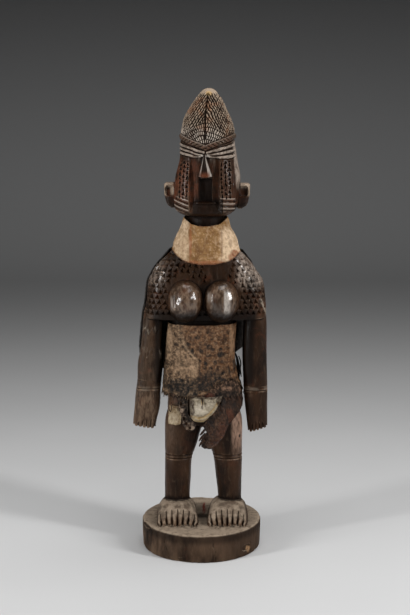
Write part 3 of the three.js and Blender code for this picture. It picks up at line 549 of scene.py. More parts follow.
    def marks(self, patch: Patch) -> Array:
        """Returns the marks cut in the brow, the cheeks and the lower corners of the face."""
        x, z = patch.x, patch.z
        front = smooth(-4, -12, patch.y)
        move = np.zeros(x.shape)
        for ridge in self.ridges:
            far = line_distance(x, z + 0.7 * patch.noise(11, 13), ridge)
            move += front * (1.9 * np.clip(1 - far / 2.4, 0, 1) ** 0.8 - 1.1 * peak(far - 3.0, 0.9))
        reach = np.abs(x) + 0.035 * (z - 556) + 1.0 * patch.noise(7, 10)
        for number, column in enumerate(self.cheek_columns):
            up = (z - 530 - 0.4 * self.cheek_row * number + 1.5 * patch.noise(8, 11)) / self.cheek_row
            rise = up - np.floor(up)
            size = 1 + 0.5 * noise(patch.points * 0 + np.floor(up)[..., None] * 5.3 + number * 11, 4, 14)
            width = 2.4 * size * np.clip(1.08 - rise, 0, 1)
            pit = peak(reach - column, np.maximum(width, 0.3)) * smooth(0.06, 0.14, rise)
            move -= front * 2.3 * smooth(0.0, 0.55, pit) * smooth(527, 530, z) * smooth(583, 580, z)
        move -= front * 0.7 * (peak(reach - 40.5, 1.3) * smooth(512, 520, z))
        side = np.where(x < 0, 1.0, 0.0)
        for level in self.corner_lines:
            rise = level + np.where(x < 0, 0.32, -0.1) * (np.abs(x) - 33) - 0.6 * side
            move -= front * 1.5 * peak(z - rise, 1.25) * smooth(21.5, 23.5, np.abs(x)) * smooth(45, 43, np.abs(x))
        upright = peak(x - 25.5 - 0.05 * (z - 515), 1.2)
        move -= front * 1.1 * upright * smooth(506, 509, z) * smooth(528, 525, z)
        move -= front * 0.5 * smooth(0.3, 0.9, saw(x / 2.6)) * peak(z - 518.6, 1.5) * (np.abs(x) < 13)
        return move - 0.12 * patch.noise(7, 12, 2)

    def carve(self, patch: Patch) -> Array:
        """Cuts the flat planes beside the nose and the open mouth, and raises the nose and lip."""
        x, z = patch.x, patch.z
        y = self.raised_nose(x, self.cut_planes(x, patch.y, z), z)
        lip = 41.6 - 0.012 * (x - 1) ** 2
        lip_line = peak(z - 522.6, 1.7) ** 0.5 * smooth(17, 13, np.abs(x - 1.5))
        y = np.where(lip_line > 0, np.minimum(y, y + lip_line * (-lip - y)), y)
        points = patch.points.copy()
        points[..., 1] = np.where((patch.y < -12) & (patch.body > 0), y, patch.y)
        return points

    def cut_planes(self, x: Array, y: Array, z: Array) -> Array:
        """Returns the depth y with the flat planes beside the nose and the open mouth cut in."""
        plane_x = smooth(23.0, 20.6, np.abs(x + 0.6 * np.sign(x))) * smooth(505, 510, z)
        edge = self.brow - 0.05 * np.abs(x)
        plane = plane_x * smooth(edge + 0.8, edge - 1.4, z)
        floor = -35.0 + 1.6 * smooth(8, 20, np.abs(x)) - 2.4 * smooth(524, 512, z)
        y = y + plane * np.maximum(floor - y, 0)
        mouth = smooth(9.6, 8.4, np.abs(x - 1.6)) * (smooth(523.6, 525.2, z) * smooth(557, 555.5, z))
        return y + mouth * np.maximum(self.mouth_depth - y, 0)

    def raised_nose(self, x: Array, y: Array, z: Array) -> Array:
        """Returns the depth y with the nose raised, a ridge that widens towards its tip."""
        root = self.brow + 2.5
        rise = np.clip((root - z) / (root - self.nose_tip), 0, 1)
        half, top = 2.8 + 6.2 * rise**1.15, 0.9 + 2.6 * rise
        off = np.abs(x - 1.2 * rise)
        slope = np.clip(1 - np.maximum(off - top, 0) / half, 0, 1)
        ridge = -38.5 - 13.0 * rise
        nose = np.where((z < root) & (z > self.nose_tip - 3.5), ridge * slope - 30 * (1 - slope), 0)
        nose = nose * smooth(self.nose_tip - 3.4, self.nose_tip - 0.5, z)
        return np.where((off < half + top) & (nose < y), nose, y)

    def meshes(self) -> list:
        """Returns the head and both ears."""
        form = Form(self.sections, self.place)
        columns = front_angles(270, 110)
        head = Carving("head", form, columns, 0.55, (1.5, 2.2), self.relief, self.carve).mesh()
        return [head, self.ear(-1), self.ear(1)]

    def ear(self, side: int) -> bpy.types.Mesh:
        """Returns an ear: a block hollowed in front near its top, side -1 on the left of the picture."""
        rise, angle = np.meshgrid(np.linspace(0, 1, 60), even_angles(84), indexing="ij")
        k = (np.abs(np.cos(angle)) ** 4 + np.abs(np.sin(angle)) ** 4) ** 0.25
        pull = 1 - 0.2 * smooth(0.9, 1.0, rise) ** 2 - 0.16 * smooth(0.1, 0.0, rise)
        waist = 1.0 - 0.5 * bell(rise - 0.5, 0.06)
        reach = 10.6 + 0.7 * smooth(0.5, 0.9, rise) - 2.6 * smooth(0.5, 0.0, rise) + 1 - waist
        depth = 8.8 - 1.4 * smooth(0.5, 0.0, rise)
        x = side * (51.0 + reach * pull * np.cos(angle) / k)
        y = depth * pull * np.sin(angle) / k
        z = self.ear_low + (self.ear_high - self.ear_low) * rise + 5.0 * (1 - rise) * np.clip(np.cos(angle), 0, 1)
        rings = np.stack([x, y, z], axis=-1)
        rings = rings + 0.35 * noise(rings, 6, 31, 2)[..., None]
        floor, roof = rings[0].mean(axis=0), rings[-1].mean(axis=0)
        foot = floor + (rings[0][None] - floor) * np.array([0.3, 0.8])[:, None, None]
        crown = roof + (rings[-1][None] - roof) * np.array([0.8, 0.3])[:, None, None]
        block = np.concatenate([foot, rings, crown])
        ball, _ = oval(48, 30)
        cup = np.abs(ball) ** 0.72 * np.sign(ball) * np.array([7.6, 5.2, 8.2])
        cup = cup + np.array([side * 53.2, -9.0, self.ear_high - 10.4])
        turn = np.array(self.place)
        meshes = []
        for name, shape in (("ear", block), ("ear_cup", cup)):
            shape = shape if side > 0 or name == "ear_cup" else shape[:, ::-1]
            meshes.append(ring_shell(shape @ turn[:3, :3].T + turn[:3, 3]).mesh(name))
        return joined(meshes[0], meshes[1], Join.CUT)


@dataclass
class Torso:
    """Trunk, shoulders with rows of notches, and breasts."""

    trunk: tuple = (
        (189, 5, 53, 24, 30), (218, 4.5, 53, 30, 38), (253, 2.5, 48.5, 29, 34), (303, 1, 45.5, 28, 29),
        (359, 3.8, 45.5, 29, 29),
    )
    shoulders: tuple = (
        (351, 6.8, 90.2, 36, 36, 3.2), (374, 8.5, 87.4, 37, 38, 3.2), (404, 8.1, 83.7, 36.5, 38, 3),
        (416, 7.2, 77.2, 35.5, 37, 2.8), (428, 7, 69.5, 34, 36), (440, 7.8, 58.2, 32, 34), (452, 7.8, 46.3, 29, 31),
        (463, 7.7, 39.5, 26.5, 28), (474, 7.6, 31, 25, 25.5, 2.3), (483, 7.6, 26, 25, 25, 2.1),
        (509, 8.6, 25, 25, 25, 2.1),
    )
    arcs: tuple = (
        ((71, 425), (77, 424), (83, 420), (86.5, 414)), ((69, 421.5), (76, 420.5), (81, 417), (84, 411)),
        ((-53, 422), (-60, 423.5), (-67, 421), (-71.5, 415)), ((-52, 418), (-60, 419.5), (-66, 417), (-69, 412)),
    )
    scratches: tuple = (
        ((74, 404), (94, 372)), ((96, 402), (78, 366)), ((86, 396), (99, 380)), ((88, 380), (97, 358)),
    )

    def relief(self, patch: Patch) -> Array:
        """Returns the incised arcs, the scratches and the tool marks of the shoulders."""
        front = smooth(0, -8, patch.y)
        move = -0.35 * patch.noise(22, 41, 2)
        for arc in self.arcs:
            move -= front * 1.3 * knife_line(patch.x, patch.z, arc, 2.6)
        for scratch in self.scratches:
            move -= front * 0.5 * knife_line(patch.x, patch.z, scratch, 1.6)
        return move * patch.body

    def breast_centre(self, side: int) -> Array:
        """Returns the middle of a breast, side -1 on the left of the picture."""
        return np.array([4.75 + side * 25.95, -34, 381])

    def breast(self, side: int) -> bpy.types.Mesh:
        """Returns a breast: a full form with a soft ridge down its front and a flat on its inner side."""
        ball, _ = oval(150, 90)
        dx, dy, dz = ball[..., 0], ball[..., 1], ball[..., 2]
        square = (np.abs(dx) ** 2.15 + np.abs(dy) ** 1.75 + np.abs(dz) ** 2.15) ** (-1 / 2.0)
        wide, deep, high = 24.6, 28.0, 30.0
        local = np.stack([dx * wide, dy * deep, dz * high], axis=-1) * np.minimum(square, 1.0)[..., None]
        front = smooth(-0.15, -0.5, dy)
        local[..., 2] *= 1 + 0.12 * smooth(0.0, -0.8, dz)
        local[..., 0] *= 1.04
        if side < 0:
            ridges = (((-0.63, -0.12), (-0.74, 0.5)), ((-0.63, -0.12), (-0.05, 0.3), (0.5, 0.62)))
            hollow = smooth(0.05, 0.34, np.minimum(*(line_distance(dx, dz, ridge) for ridge in ridges)))
            inside = smooth(-0.04, 0.06, dz - 0.64 * dx - 0.3) * smooth(-0.75, -0.55, dx) * smooth(0.98, 0.7, dz)
            local[..., 1] += 1.9 * front * hollow * inside
        else:
            ridges = (((-0.62, 0.62), (-0.55, 0.3)),)
            dent = np.exp(-((dx + 0.05) / 0.3) ** 2 - ((dz - 0.2) / 0.45) ** 2)
            local[..., 1] += 1.0 * front * dent
        level = np.sqrt(np.clip(1 - dz**2, 0.04, 1))
        for turned, depth in ((0.48, 0.55), (-0.48, 0.25 if side < 0 else 0.1)):
            plane = (turned * local[..., 0] + depth - 27.2 * level) / 0.877
            local[..., 1] = np.where(front > 0, np.maximum(local[..., 1], plane), local[..., 1])
        for ridge in ridges:
            local[..., 1] -= 0.8 * front * smooth(0.26, 0.0, line_distance(dx, dz, ridge))
        nipple = np.hypot((dx - (0.36 if side > 0 else -0.63)) / 0.11, (dz + 0.13) / 0.11)
        local[..., 1] -= front * 0.8 * smooth(1.25, 0.3, nipple)
        local += 0.14 * noise(local, 11, 52 + side, 2)[..., None] * ball
        tilt = math.radians(12)
        y = local[..., 1] * math.cos(tilt) - local[..., 2] * math.sin(tilt)
        z = local[..., 1] * math.sin(tilt) + local[..., 2] * math.cos(tilt)
        return ring_shell(np.stack([local[..., 0], y, z], axis=-1) + self.breast_centre(side)).mesh("breast")

    def meshes(self) -> list:
        """Returns the trunk, the shoulders and both breasts."""
        plain = Carving("trunk", Form(self.trunk), even_angles(120), 2.5).mesh()
        upper = Carving("shoulders", Form(self.shoulders), front_angles(300, 190), 1.0, (2.2, 1.5), self.relief).mesh()
        return [plain, upper, self.breast(-1), self.breast(1)]


def digits(patch: Patch, sections: tuple, half: float, count: int) -> Array:
    """Returns the place across a hand or foot, counted in fingers or toes over that share of its half width."""
    x0, wide = Form(sections).blend(patch.level)[:2]
    return ((patch.x - x0) / wide + half) * count / (2 * half)


@dataclass
class Arm:
    """An arm held straight down, with cut marks and a flat hand."""

    sections: tuple
    zigzags: tuple
    wrist: tuple
    zigzag_deep: float = 0.3
    fingers: int = 5

    def relief(self, patch: Patch) -> Array:
        """Returns the zigzags, the wrist lines, the grain of the hand and the finger cuts."""
        x0, wide = Form(self.sections).blend(patch.level)[:2]
        across = (patch.x - x0) / wide
        z = patch.z
        face = smooth(-1, -5, patch.y) + smooth(1, 5, patch.y)
        move = -0.25 * noise(patch.points * np.array([1, 1, 0.4]), 13, 61, 2)
        for low, high, teeth in self.zigzags:
            level = low + (high - low) * saw(across * teeth / 2)
            move -= self.zigzag_deep * peak(z - level, 1.4)
        for number, line in enumerate(self.wrist):
            move -= (1.4 if number == 0 else 0.4) * peak(z - line, 1.4)
        grain = noise(patch.points * np.array([1, 1, 0.12]), 3.2, 64, 2)
        move -= 0.55 * np.clip(grain, 0, 1) * smooth(self.wrist[0] - 2, self.wrist[0] - 10, z)
        place = digits(patch, self.sections, 0.9, self.fingers)
        cut = saw(place)
        end = self.sections[0][0]
        length = 13 + 3 * noise(patch.points * 0 + np.floor(place)[..., None] * 7.7, 5, 66)
        move -= 2.1 * face * smooth(0.62, 1.0, cut) * smooth(end + length, end + length - 6, patch.level)
        return move * patch.body

    def chalk(self, points: Array) -> Array:
        """Returns where the zigzags and the wrist line hold pale dust."""
        x0, wide = Form(self.sections).blend(points[:, 2])[:2]
        across = (points[:, 0] - x0) / wide
        inside = smooth(0.15, -0.05, across) * (points[:, 0] < 0)
        pale = np.zeros(len(points))
        for low, high, teeth in self.zigzags:
            far = np.abs(points[:, 2] - low - (high - low) * saw(across * teeth / 2))
            pale = np.maximum(pale, smooth(1.2, 0.4, far))
        cuff = 0.35 * smooth(1.6, 0.5, np.abs(points[:, 2] - self.wrist[0] - 1.6))
        return np.maximum(pale * inside, cuff) * smooth(-0.3, 0.2, noise(points, 9, 68, 2))

    def tips(self, patch: Patch) -> Array:
        """Rounds the finger tips and parts them from below."""
        points = patch.points.copy()
        cut = smooth(0.45, 1.0, saw(digits(patch, self.sections, 0.9, self.fingers)))
        points[..., 2] += 1.9 * cut * smooth(self.sections[0][0] + 5, self.sections[0][0], patch.level)
        return points

    def mesh(self) -> bpy.types.Mesh:
        """Returns the arm and hand."""
        form = Form(self.sections)
        return Carving("arm", form, front_angles(96, 72), 0.8, (1.8, 2.0), self.relief, self.tips).mesh()


@dataclass
class Leg:
    """A leg with two rings below the knee, and a broad foot with cut toes."""

    sections: tuple
    foot: tuple
    rings_at: Pair = (138.0, 143.6)
    toes: int = 6
    toe_from: float = 36.0

    def relief(self, patch: Patch) -> Array:
        """Returns the rings and tool marks of the leg."""
        move = -0.3 * noise(patch.points * np.array([1, 1, 0.3]), 12, 71, 2)
        for ring in self.rings_at:
            move -= 1.3 * peak(patch.z - ring, 1.6)
        return move * patch.body

    def toe_relief(self, patch: Patch) -> Array:
        """Returns the cuts between the toes, where level is the reach forwards and y is up."""
        place = digits(patch, self.foot, 0.86, self.toes)
        move = -2.1 * smooth(0.62, 1.0, saw(place)) * smooth(self.toe_from, self.toe_from + 6, patch.level)
        move = move * smooth(0, 3, patch.y)
        nail = np.abs(place - np.floor(place) - 0.5) / 0.3
        move += 0.5 * smooth(1.0, 0.6, nail) * smooth(44, 46, patch.level) * smooth(3, 6, patch.y)
        return move - 0.5 * patch.noise(9, 75, 3)

    def toe_tips(self, patch: Patch) -> Array:
        """Rounds each toe at its front."""
        points = patch.points.copy()
        cut = smooth(0.35, 1.0, saw(digits(patch, self.foot, 0.86, self.toes)))
        points[..., 2] -= 3.6 * cut * smooth(46, 51, patch.level)
        return points

    def meshes(self) -> list:
        """Returns the leg and the foot."""
        leg = Carving("leg", Form(self.sections), front_angles(90, 60), 1.1, (1.5, 1.5), self.relief).mesh()
        ground = Matrix.Translation((0, 0, 42)) @ Matrix.Rotation(BACK, 4, "X")
        foot = Form(self.foot, ground)
        toes = Carving("foot", foot, even_angles(180), 0.7, (1.5, 1.5), self.toe_relief, self.toe_tips).mesh()
        return [leg, toes]


@dataclass
class Base:
    """The round block that the figure stands on, worn at its rim and split by dry wood."""

    radius: float = 89.0
    across: float = 1.7
    height: float = 42.0
    worn: float = 4.0
    lower_edge: float = 2.2
    crack_half: float = 1.1
    crack_deep: float = 2.2
    cracks: tuple = (
        (-1.35, 3, 30, 0.6), (-2.2, 14, 42, 0.5), (-0.62, 0, 22, 0.7), (0.9, 5, 42, 0.8), (2.4, 10, 36, 0.6),
    )
    chips: tuple = ((-0.72, 13, 9, 6, 1.9), (-1.9, 4, 7, 4, 1.2), (-2.75, 39, 12, 4, 1.5), (1.4, 40, 14, 5, 2.0))

    def mesh(self) -> bpy.types.Mesh:
        """Returns the block."""
        turns = np.linspace(0, BACK, 7)
        spread = np.array([0.04, 0.15, 0.3, 0.45, 0.6, 0.72, 0.83, 0.92])
        inset = np.concatenate([
            np.zeros(8), self.lower_edge * (1 - np.sin(turns)), np.zeros(34),
            self.worn * (1 - np.sin(turns[::-1])), np.zeros(8),
        ])
        level = np.concatenate([
            np.zeros(8), self.lower_edge * (1 - np.cos(turns)), np.linspace(3, 37.5, 34),
            self.height - self.worn * (1 - np.cos(turns[::-1])), np.full(8, self.height),
        ])
        share = np.concatenate([spread, np.ones(48), spread[::-1]])
        z, angle = np.meshgrid(level, even_angles(420), indexing="ij")
        ring = (self.radius - inset[:, None]) * share[:, None] - 0.9 * (1 - z / self.height)
        body = np.concatenate([np.zeros(8), np.ones(48), np.zeros(8)])[:, None]
        place = np.stack([angle * self.radius, z * 0.1, np.zeros_like(z)], axis=-1)
        around = np.stack([np.cos(angle) * self.radius, np.sin(angle) * self.radius, z], axis=-1)
        move = -0.9 * np.clip(noise(place, 5.5, 81, 2), 0, 1) - 0.6 * noise(around, 30, 82, 2)
        for crack, low, high, depth in self.cracks:
            bend = crack + 0.02 * np.sin(z / 6.0) + 0.01 * np.sin(z / 2.3)
            line = peak(wrapped(angle - bend) * self.radius, self.crack_half)
            move -= self.crack_deep * depth * line * smooth(low - 2, low + 3, z) * smooth(high + 2, high - 3, z)
        for chip, level_at, wide, tall, depth in self.chips:
            far = np.hypot(wrapped(angle - chip) * self.radius / wide, (z - level_at) / tall)
            far = far + 0.25 * noise(around, 4, 84, 2)
            move -= depth * smooth(1.0, 0.75, far)
        reach = ring + move * body
        top = self.height * (z >= self.height)
        lift = 0.35 * noise(around * share[:, None, None], 9, 86, 2) * (top > 0) * smooth(1, 0.9, share)[:, None]
        x = self.across + reach * np.cos(angle)
        y = reach * np.sin(angle)
        return ring_shell(np.stack([x, y, np.maximum(z - np.abs(lift), 0)], axis=-1)).mesh("base")


def added(tree: bpy.types.NodeTree, kind: str, **settings: object) -> bpy.types.Node:
    """Returns a new node of the tree with the given settings."""
    node = tree.nodes.new(kind)
    for name, value in settings.items():
        setattr(node, name, value)
    return node


class NodeGroup:
    """A Geometry Nodes group that takes and gives one mesh."""

    def __init__(self, name: str, inputs: dict) -> None:
        """Starts the group, with further inputs by their label and kind."""
        self.name = name
        self.tree = bpy.data.node_groups.new(name, "GeometryNodeTree")
        for label, kind in {"Mesh": "Geometry", **inputs}.items():
            self.tree.interface.new_socket(label, in_out="INPUT", socket_type=f"NodeSocket{kind}")
        self.tree.interface.new_socket("Mesh", in_out="OUTPUT", socket_type="NodeSocketGeometry")
        self.start = self.node("NodeGroupInput").outputs
        self.end = self.node("NodeGroupOutput").inputs[0]

    def node(self, kind: str, **settings: object) -> bpy.types.Node:
        """Adds a node with the given settings."""
        return added(self.tree, kind, **settings)

    def stored(self, name: str, kind: str) -> bpy.types.NodeSocket:
        """Returns a value stored on the mesh under a name."""
        node = self.node("GeometryNodeInputNamedAttribute", data_type=kind)
        node.inputs["Name"].default_value = name
        return node.outputs[0]

    def join(self, *links: tuple) -> "NodeGroup":
        """Links each output to its input and returns the group."""
        for output, entry in links:
            self.tree.links.new(output, entry)
        return self

    def run(self, mesh: bpy.types.Mesh, values: dict) -> bpy.types.Mesh:
        """Returns what the group makes of the mesh, with its inputs set by label."""
        holder = hold(mesh)
        modifier = holder.modifiers.new(self.name, "NODES")
        modifier.node_group = self.tree
        labels = {item.name: item.identifier for item in self.tree.interface.items_tree if item.in_out == "INPUT"}
        for label, value in values.items():
            modifier[labels[label]] = value
        return evaluated(holder, self.name)


@dataclass
class Repeater:
    """Places one small tool many times over a surface, by Geometry Nodes."""

    name: str
    tool: bpy.types.Object

    def group(self) -> NodeGroup:
        """Returns a group that sets the tool on every point, turned and sized."""
        group = NodeGroup(self.name, {"Tool": "Object", "Size": "Float"})
        tool, place = group.node("GeometryNodeObjectInfo"), group.node("GeometryNodeInstanceOnPoints")
        scale, real = group.node("ShaderNodeVectorMath", operation="SCALE"), group.node("GeometryNodeRealizeInstances")
        return group.join(
            (group.start["Tool"], tool.inputs["Object"]),
            (group.start["Mesh"], place.inputs["Points"]),
            (tool.outputs["Geometry"], place.inputs["Instance"]),
            (group.stored("turn", "FLOAT_VECTOR"), place.inputs["Rotation"]),
            (group.stored("size", "FLOAT_VECTOR"), scale.inputs[0]),
            (group.start["Size"], scale.inputs["Scale"]),
            (scale.outputs[0], place.inputs["Scale"]),
            (place.outputs[0], real.inputs[0]),
            (real.outputs[0], group.end),
        )

    def mesh(self, places: Array, turns: Array, sizes: Array) -> bpy.types.Mesh:
        """Makes every copy and returns them as one mesh.

        Args:
            places: Points in mm.
            turns: Euler turns of each copy in radians.
            sizes: Size of each copy along its own axes in mm.

        Returns:
            One plain mesh; the tool is removed.
        """
        mesh = Shell(places, []).mesh(self.name)
        for label, values in {"turn": turns, "size": sizes * MM}.items():
            mesh.attributes.new(label, "FLOAT_VECTOR", "POINT").data.foreach_set("vector", values.ravel())
        result = self.group().run(mesh, {"Tool": self.tool, "Size": 1.0})
        bpy.data.objects.remove(self.tool)
        return result


@dataclass
class Threads:
    """Loose threads, thongs and torn shreds, swept along short paths by Geometry Nodes.

    Each path is a list of points (x, y, z, half thickness) in mm.
    """

    name: str
    paths: list
    sides: int = 5
    spacing: float = 1.1

    def group(self) -> NodeGroup:
        """Returns a group that sweeps a round section along every path."""
        group = NodeGroup(self.name, {"Sides": "Int", "Spacing": "Float"})
        curve = group.node("GeometryNodeMeshToCurve")
        soft = group.node("GeometryNodeCurveSplineType", spline_type="CATMULL_ROM")
        even = group.node("GeometryNodeResampleCurve", mode="LENGTH")
        ring, tube = group.node("GeometryNodeCurvePrimitiveCircle"), group.node("GeometryNodeCurveToMesh")
        ring.inputs["Radius"].default_value = 1.0
        tube.inputs["Fill Caps"].default_value = True
        return group.join(
            (group.start["Mesh"], curve.inputs[0]),
            (curve.outputs[0], soft.inputs[0]),
            (soft.outputs[0], even.inputs[0]),
            (group.start["Spacing"], even.inputs["Length"]),
            (even.outputs[0], tube.inputs[0]),
            (group.stored("thick", "FLOAT"), tube.inputs["Scale"]),
            (group.start["Sides"], ring.inputs["Resolution"]),
            (ring.outputs[0], tube.inputs["Profile Curve"]),
            (tube.outputs[0], group.end),
        )

    def mesh(self) -> bpy.types.Mesh:
        """Returns all tubes as one closed mesh."""
        points = np.array([point[:3] for path in self.paths for point in path], dtype=float)
        ends = np.cumsum([len(path) for path in self.paths])
        edges = [(i, i + 1) for i in range(len(points) - 1) if i + 1 not in ends]
        mesh = plain_mesh(self.name, points * MM, edges, [])
        store(mesh, "thick", np.array([point[3] for path in self.paths for point in path]) * MM)
        return self.group().run(mesh, {"Sides": self.sides, "Spacing": self.spacing * MM})


def wedge_tool() -> bpy.types.Object:
    """Returns a small three-sided pyramid of unit size, its point at -Z and one corner towards +Y."""
    turns = BACK + np.arange(3) * 2 * math.pi / 3
    rim = np.stack([np.cos(turns), np.sin(turns), np.full(3, 0.6)], axis=-1)
    points = np.concatenate([rim, [[0, 0, -1.0]]])
    return hold(plain_mesh("wedge", points, [], [[0, 1, 2], [1, 0, 3], [2, 1, 3], [0, 2, 3]]))


@dataclass
class Notches:
    """Rows of three-cornered cuts over the chest, the shoulders and the upper arms."""

    top: float = 447.0
    bottom: float = 357.0
    row: float = 7.8
    step: float = 8.7
    size: float = 9.2
    depth: float = 3.7
    samples: int = 1440
    bare: tuple = (411.0, 443.0, 8.0, 42.0)

    def mesh(self, body: Form, breasts: Sequence[Array]) -> bpy.types.Mesh:
        """Returns all cutters, each turned to its place on the shoulders."""
        random = np.random.default_rng(17)
        places, turns, sizes = [], [], []
        angles = even_angles(self.samples)
        for number, level in enumerate(np.arange(self.top, self.bottom, -self.row)):
            line = body.local(np.full(self.samples, level), angles)
            lengths = np.linalg.norm(np.roll(line, -1, axis=0) - line, axis=1)
            total = np.concatenate([[0], np.cumsum(lengths)])
            count = int(total[-1] / self.step)
            where = (np.arange(count) + 0.5 * (number % 2)) * total[-1] / count
            spots = np.interp(where, total[:-1], angles)
            for angle in spots:
                angle = angle + random.normal(0, 0.004)
                high = level + random.normal(0, 0.5)
                here = body.local(np.array([high, high, high + 1.5]), np.array([angle, angle + 0.01, angle]))
                if not self.wanted(here[0], breasts):
                    continue
                out = np.cross(here[1] - here[0], here[2] - here[0])
                out /= np.linalg.norm(out)
                up = here[2] - here[0]
                up /= np.linalg.norm(up)
                side = np.cross(up, out)
                spin = Matrix([side, up, out]).transposed().to_euler()
                places.append(here[0] + 0.1 * out)
                turns.append(list(spin))
                size = self.size * random.uniform(0.86, 1.1)
                sizes.append([size * 0.92, size * 1.06, self.depth * random.uniform(0.8, 1.15)])
        tool = Repeater("notches", wedge_tool())
        return tool.mesh(np.array(places), np.array(turns), np.array(sizes))

    def wanted(self, place: Array, breasts: Sequence[Array]) -> bool:
        """Tells whether a notch is cut at a place: not on the breasts or on the smooth patch."""
        x, y, z = place
        low, high, near, far = self.bare
        if y < 0 and low < z < high and near < x < far:
            return False
        for centre in breasts:
            if y < 0 and math.hypot((x - centre[0]) / 27.5, (z - centre[2] - 3) / 33) < 1:
                return False
        return not (y > 0 and abs(x - 7) < 60 and z < 400)


@dataclass
class Figure:
    """The whole carved figure with its base, one piece of wood."""

    head: Head = field(default_factory=Head)
    torso: Torso = field(default_factory=Torso)
    base: Base = field(default_factory=Base)
    notches: Notches = field(default_factory=Notches)
    left_arm: Arm = field(default_factory=lambda: Arm((
        (183.5, -83.5, 16.7, 12, 12, 3, -0.148), (190, -83, 17.2, 13.5, 13.5, 3), (215, -79, 18.8, 16, 16, 3),
        (240, -77.2, 18.2, 17, 17, 3), (254, -75.4, 18, 18, 18, 3), (281, -73.8, 18.5, 19.5, 19.5, 3),
        (307, -71.6, 16, 21, 21, 3), (351, -69, 14.6, 22.5, 22.5, 3), (375, -66, 13, 18, 18, 3),
    ), ((328.4, 337.4, 3.0), (293.0, 308.0, 3.0)), (244.0, 250.5, 257.0), 0.8))
    right_arm: Arm = field(default_factory=lambda: Arm((
        (179.5, 85.8, 14.4, 12, 12, 3, 0.31), (191, 84.8, 15.3, 13.5, 13.5, 3), (215, 83.2, 16.6, 16, 16, 3),
        (234, 82.2, 17.6, 17, 17, 3), (248, 81.8, 17.8, 18, 18, 3), (281, 80.6, 18, 19.5, 19.5, 3),
        (307, 80.2, 17.8, 21, 21, 3), (351, 80.6, 16.4, 22.5, 22.5, 3), (375, 79, 13, 18, 18, 3),
    ), ((330.0, 340.0, 3.0), (296.0, 310.0, 3.0)), (241.2, 246.5)))
    left_leg: Leg = field(default_factory=lambda: Leg((
        (51, -34.7, 18.5, 19, 23, 2.4), (77, -34.6, 18.6, 20, 24, 2.4), (105, -33.8, 19.4, 21, 26, 2.4),
        (134, -32.8, 20.1, 22, 24, 2.4), (161, -28.5, 24.5, 23.5, 27, 2.4), (193, -24.5, 28, 24, 29, 2.4),
        (207, -23.5, 26, 22, 27, 2.4),
    ), (
        (-34, -35, 16, 3, 14), (-26, -35, 24, 3, 24), (-10, -35, 28.5, 3, 31), (8, -35, 30, 3, 34),
        (20, -34.5, 30.5, 3, 32), (32, -34, 31, 3, 27), (42, -33.5, 30.5, 3, 20.5), (48, -33.8, 29, 3, 12.5),
        (51.5, -34, 27, 3, 6),
    )))
    right_leg: Leg = field(default_factory=lambda: Leg((
        (51, 44, 17.2, 19, 23, 2.4), (77, 44.1, 17.4, 20, 24, 2.4), (105, 42.6, 19.2, 21, 26, 2.4),
        (134, 41.2, 21.2, 22, 24, 2.4), (161, 37.8, 24.6, 23.5, 27, 2.4), (193, 34.5, 28, 24, 29, 2.4),
        (207, 33.5, 26, 22, 27, 2.4),
    ), (
        (-34, 41.5, 16, 3, 14), (-26, 41.5, 24, 3, 24), (-10, 41.5, 28.5, 3, 31), (8, 41.3, 30, 3, 34),
        (20, 41, 30, 3, 32), (32, 40.5, 30, 3, 27), (42, 40, 29.5, 3, 20.5), (48, 40, 28, 3, 12.5),
        (51.5, 40, 26, 3, 6),
    )))
    triangles: int = 192000

    def build(self, finish: bpy.types.Material) -> bpy.types.Object:
        """Joins every mass, cuts the notches and dresses the wood.

        Args:
            finish: The wood's material.

        Returns:
            The carved figure.
        """
        parts = [*self.torso.meshes(), self.left_arm.mesh(), self.right_arm.mesh(), *self.left_leg.meshes(),
                 *self.right_leg.meshes(), self.base.mesh(), *self.head.meshes()]
        whole = parts[0]
        whole.name = "carved_figure"
        for part in parts[1:]:
            whole = joined(whole, part, Join.ADD)
        breasts = [self.torso.breast_centre(side) for side in (-1, 1)]
        cutters = self.notches.mesh(Form(self.torso.shoulders), breasts)
        whole = joined(whole, cutters, Join.CUT)
        LOG.info("carved_figure before thinning: %d faces", len(whole.polygons))
        whole = thinned(whole, self.triangles)
        mark_hollows(whole, 3)
        self.mark_cuts(whole)
        return dressed(whole, finish, 38)

    def mark_cuts(self, mesh: bpy.types.Mesh) -> None:
        """Stores how deep the head is cut at each point, with the painted shade of the gap between the heels, as "cut",
        and where cuts hold pale dust, as "chalk".
        """
        points = mesh_points(mesh)
        turn = np.array(self.head.place)
        local = (points - turn[:3, 3]) @ turn[:3, :3]
        x0, wide, front, back = Form(self.head.sections).blend(local[:, 2])[:4]
        angle = np.arctan2(local[:, 1] / np.where(local[:, 1] < 0, front, back), (local[:, 0] - x0) / wide)
        head = smooth(505, 508, local[:, 2])
        patch = Patch(local, angle, local[:, 2], head)
        over = local[:, 2] - self.head.band_level(angle)
        x, y, z = points.T
        floor = smooth(52, 47, z)
        # Painted shade in the V-shaped gap between the heels, stored with the cuts so that it is darkened like them.
        shade_between_heels = smooth(2, -2, np.abs(x - 4.8) - 0.31 * (y + 14)) * smooth(-14, -6, y) * smooth(62, 48, y) * floor
        peg = smooth(1.9, 1.0, np.abs(x - 5.4)) * smooth(8, 14, y) * smooth(64, 58, y) * floor * (z > 40)
        store(mesh, "cut", np.maximum(-self.head.relief(patch), shade_between_heels * smooth(40, 43, z)))
        store(mesh, "paint", peg)
        store(mesh, "crest", np.clip(self.head.marks(patch), 0, 3) * head)
        store(mesh, "hair", smooth(self.head.band_half - 1, self.head.band_half + 1, over) * head)
        store(mesh, "band", smooth(self.head.band_half + 1, self.head.band_half - 1, np.abs(over)) * head)
        chalk = np.maximum(self.left_arm.chalk(points), self.right_arm.chalk(points))
        low = smooth(352, 349, z)
        for scratch in self.torso.scratches:
            chalk = np.maximum(chalk * low, smooth(2.0, 0.7, line_distance(x, z, scratch)))
        chalk *= smooth(0, -6, y) * smooth(230, 235, z) * smooth(430, 420, z)
        store(mesh, "chalk", chalk)


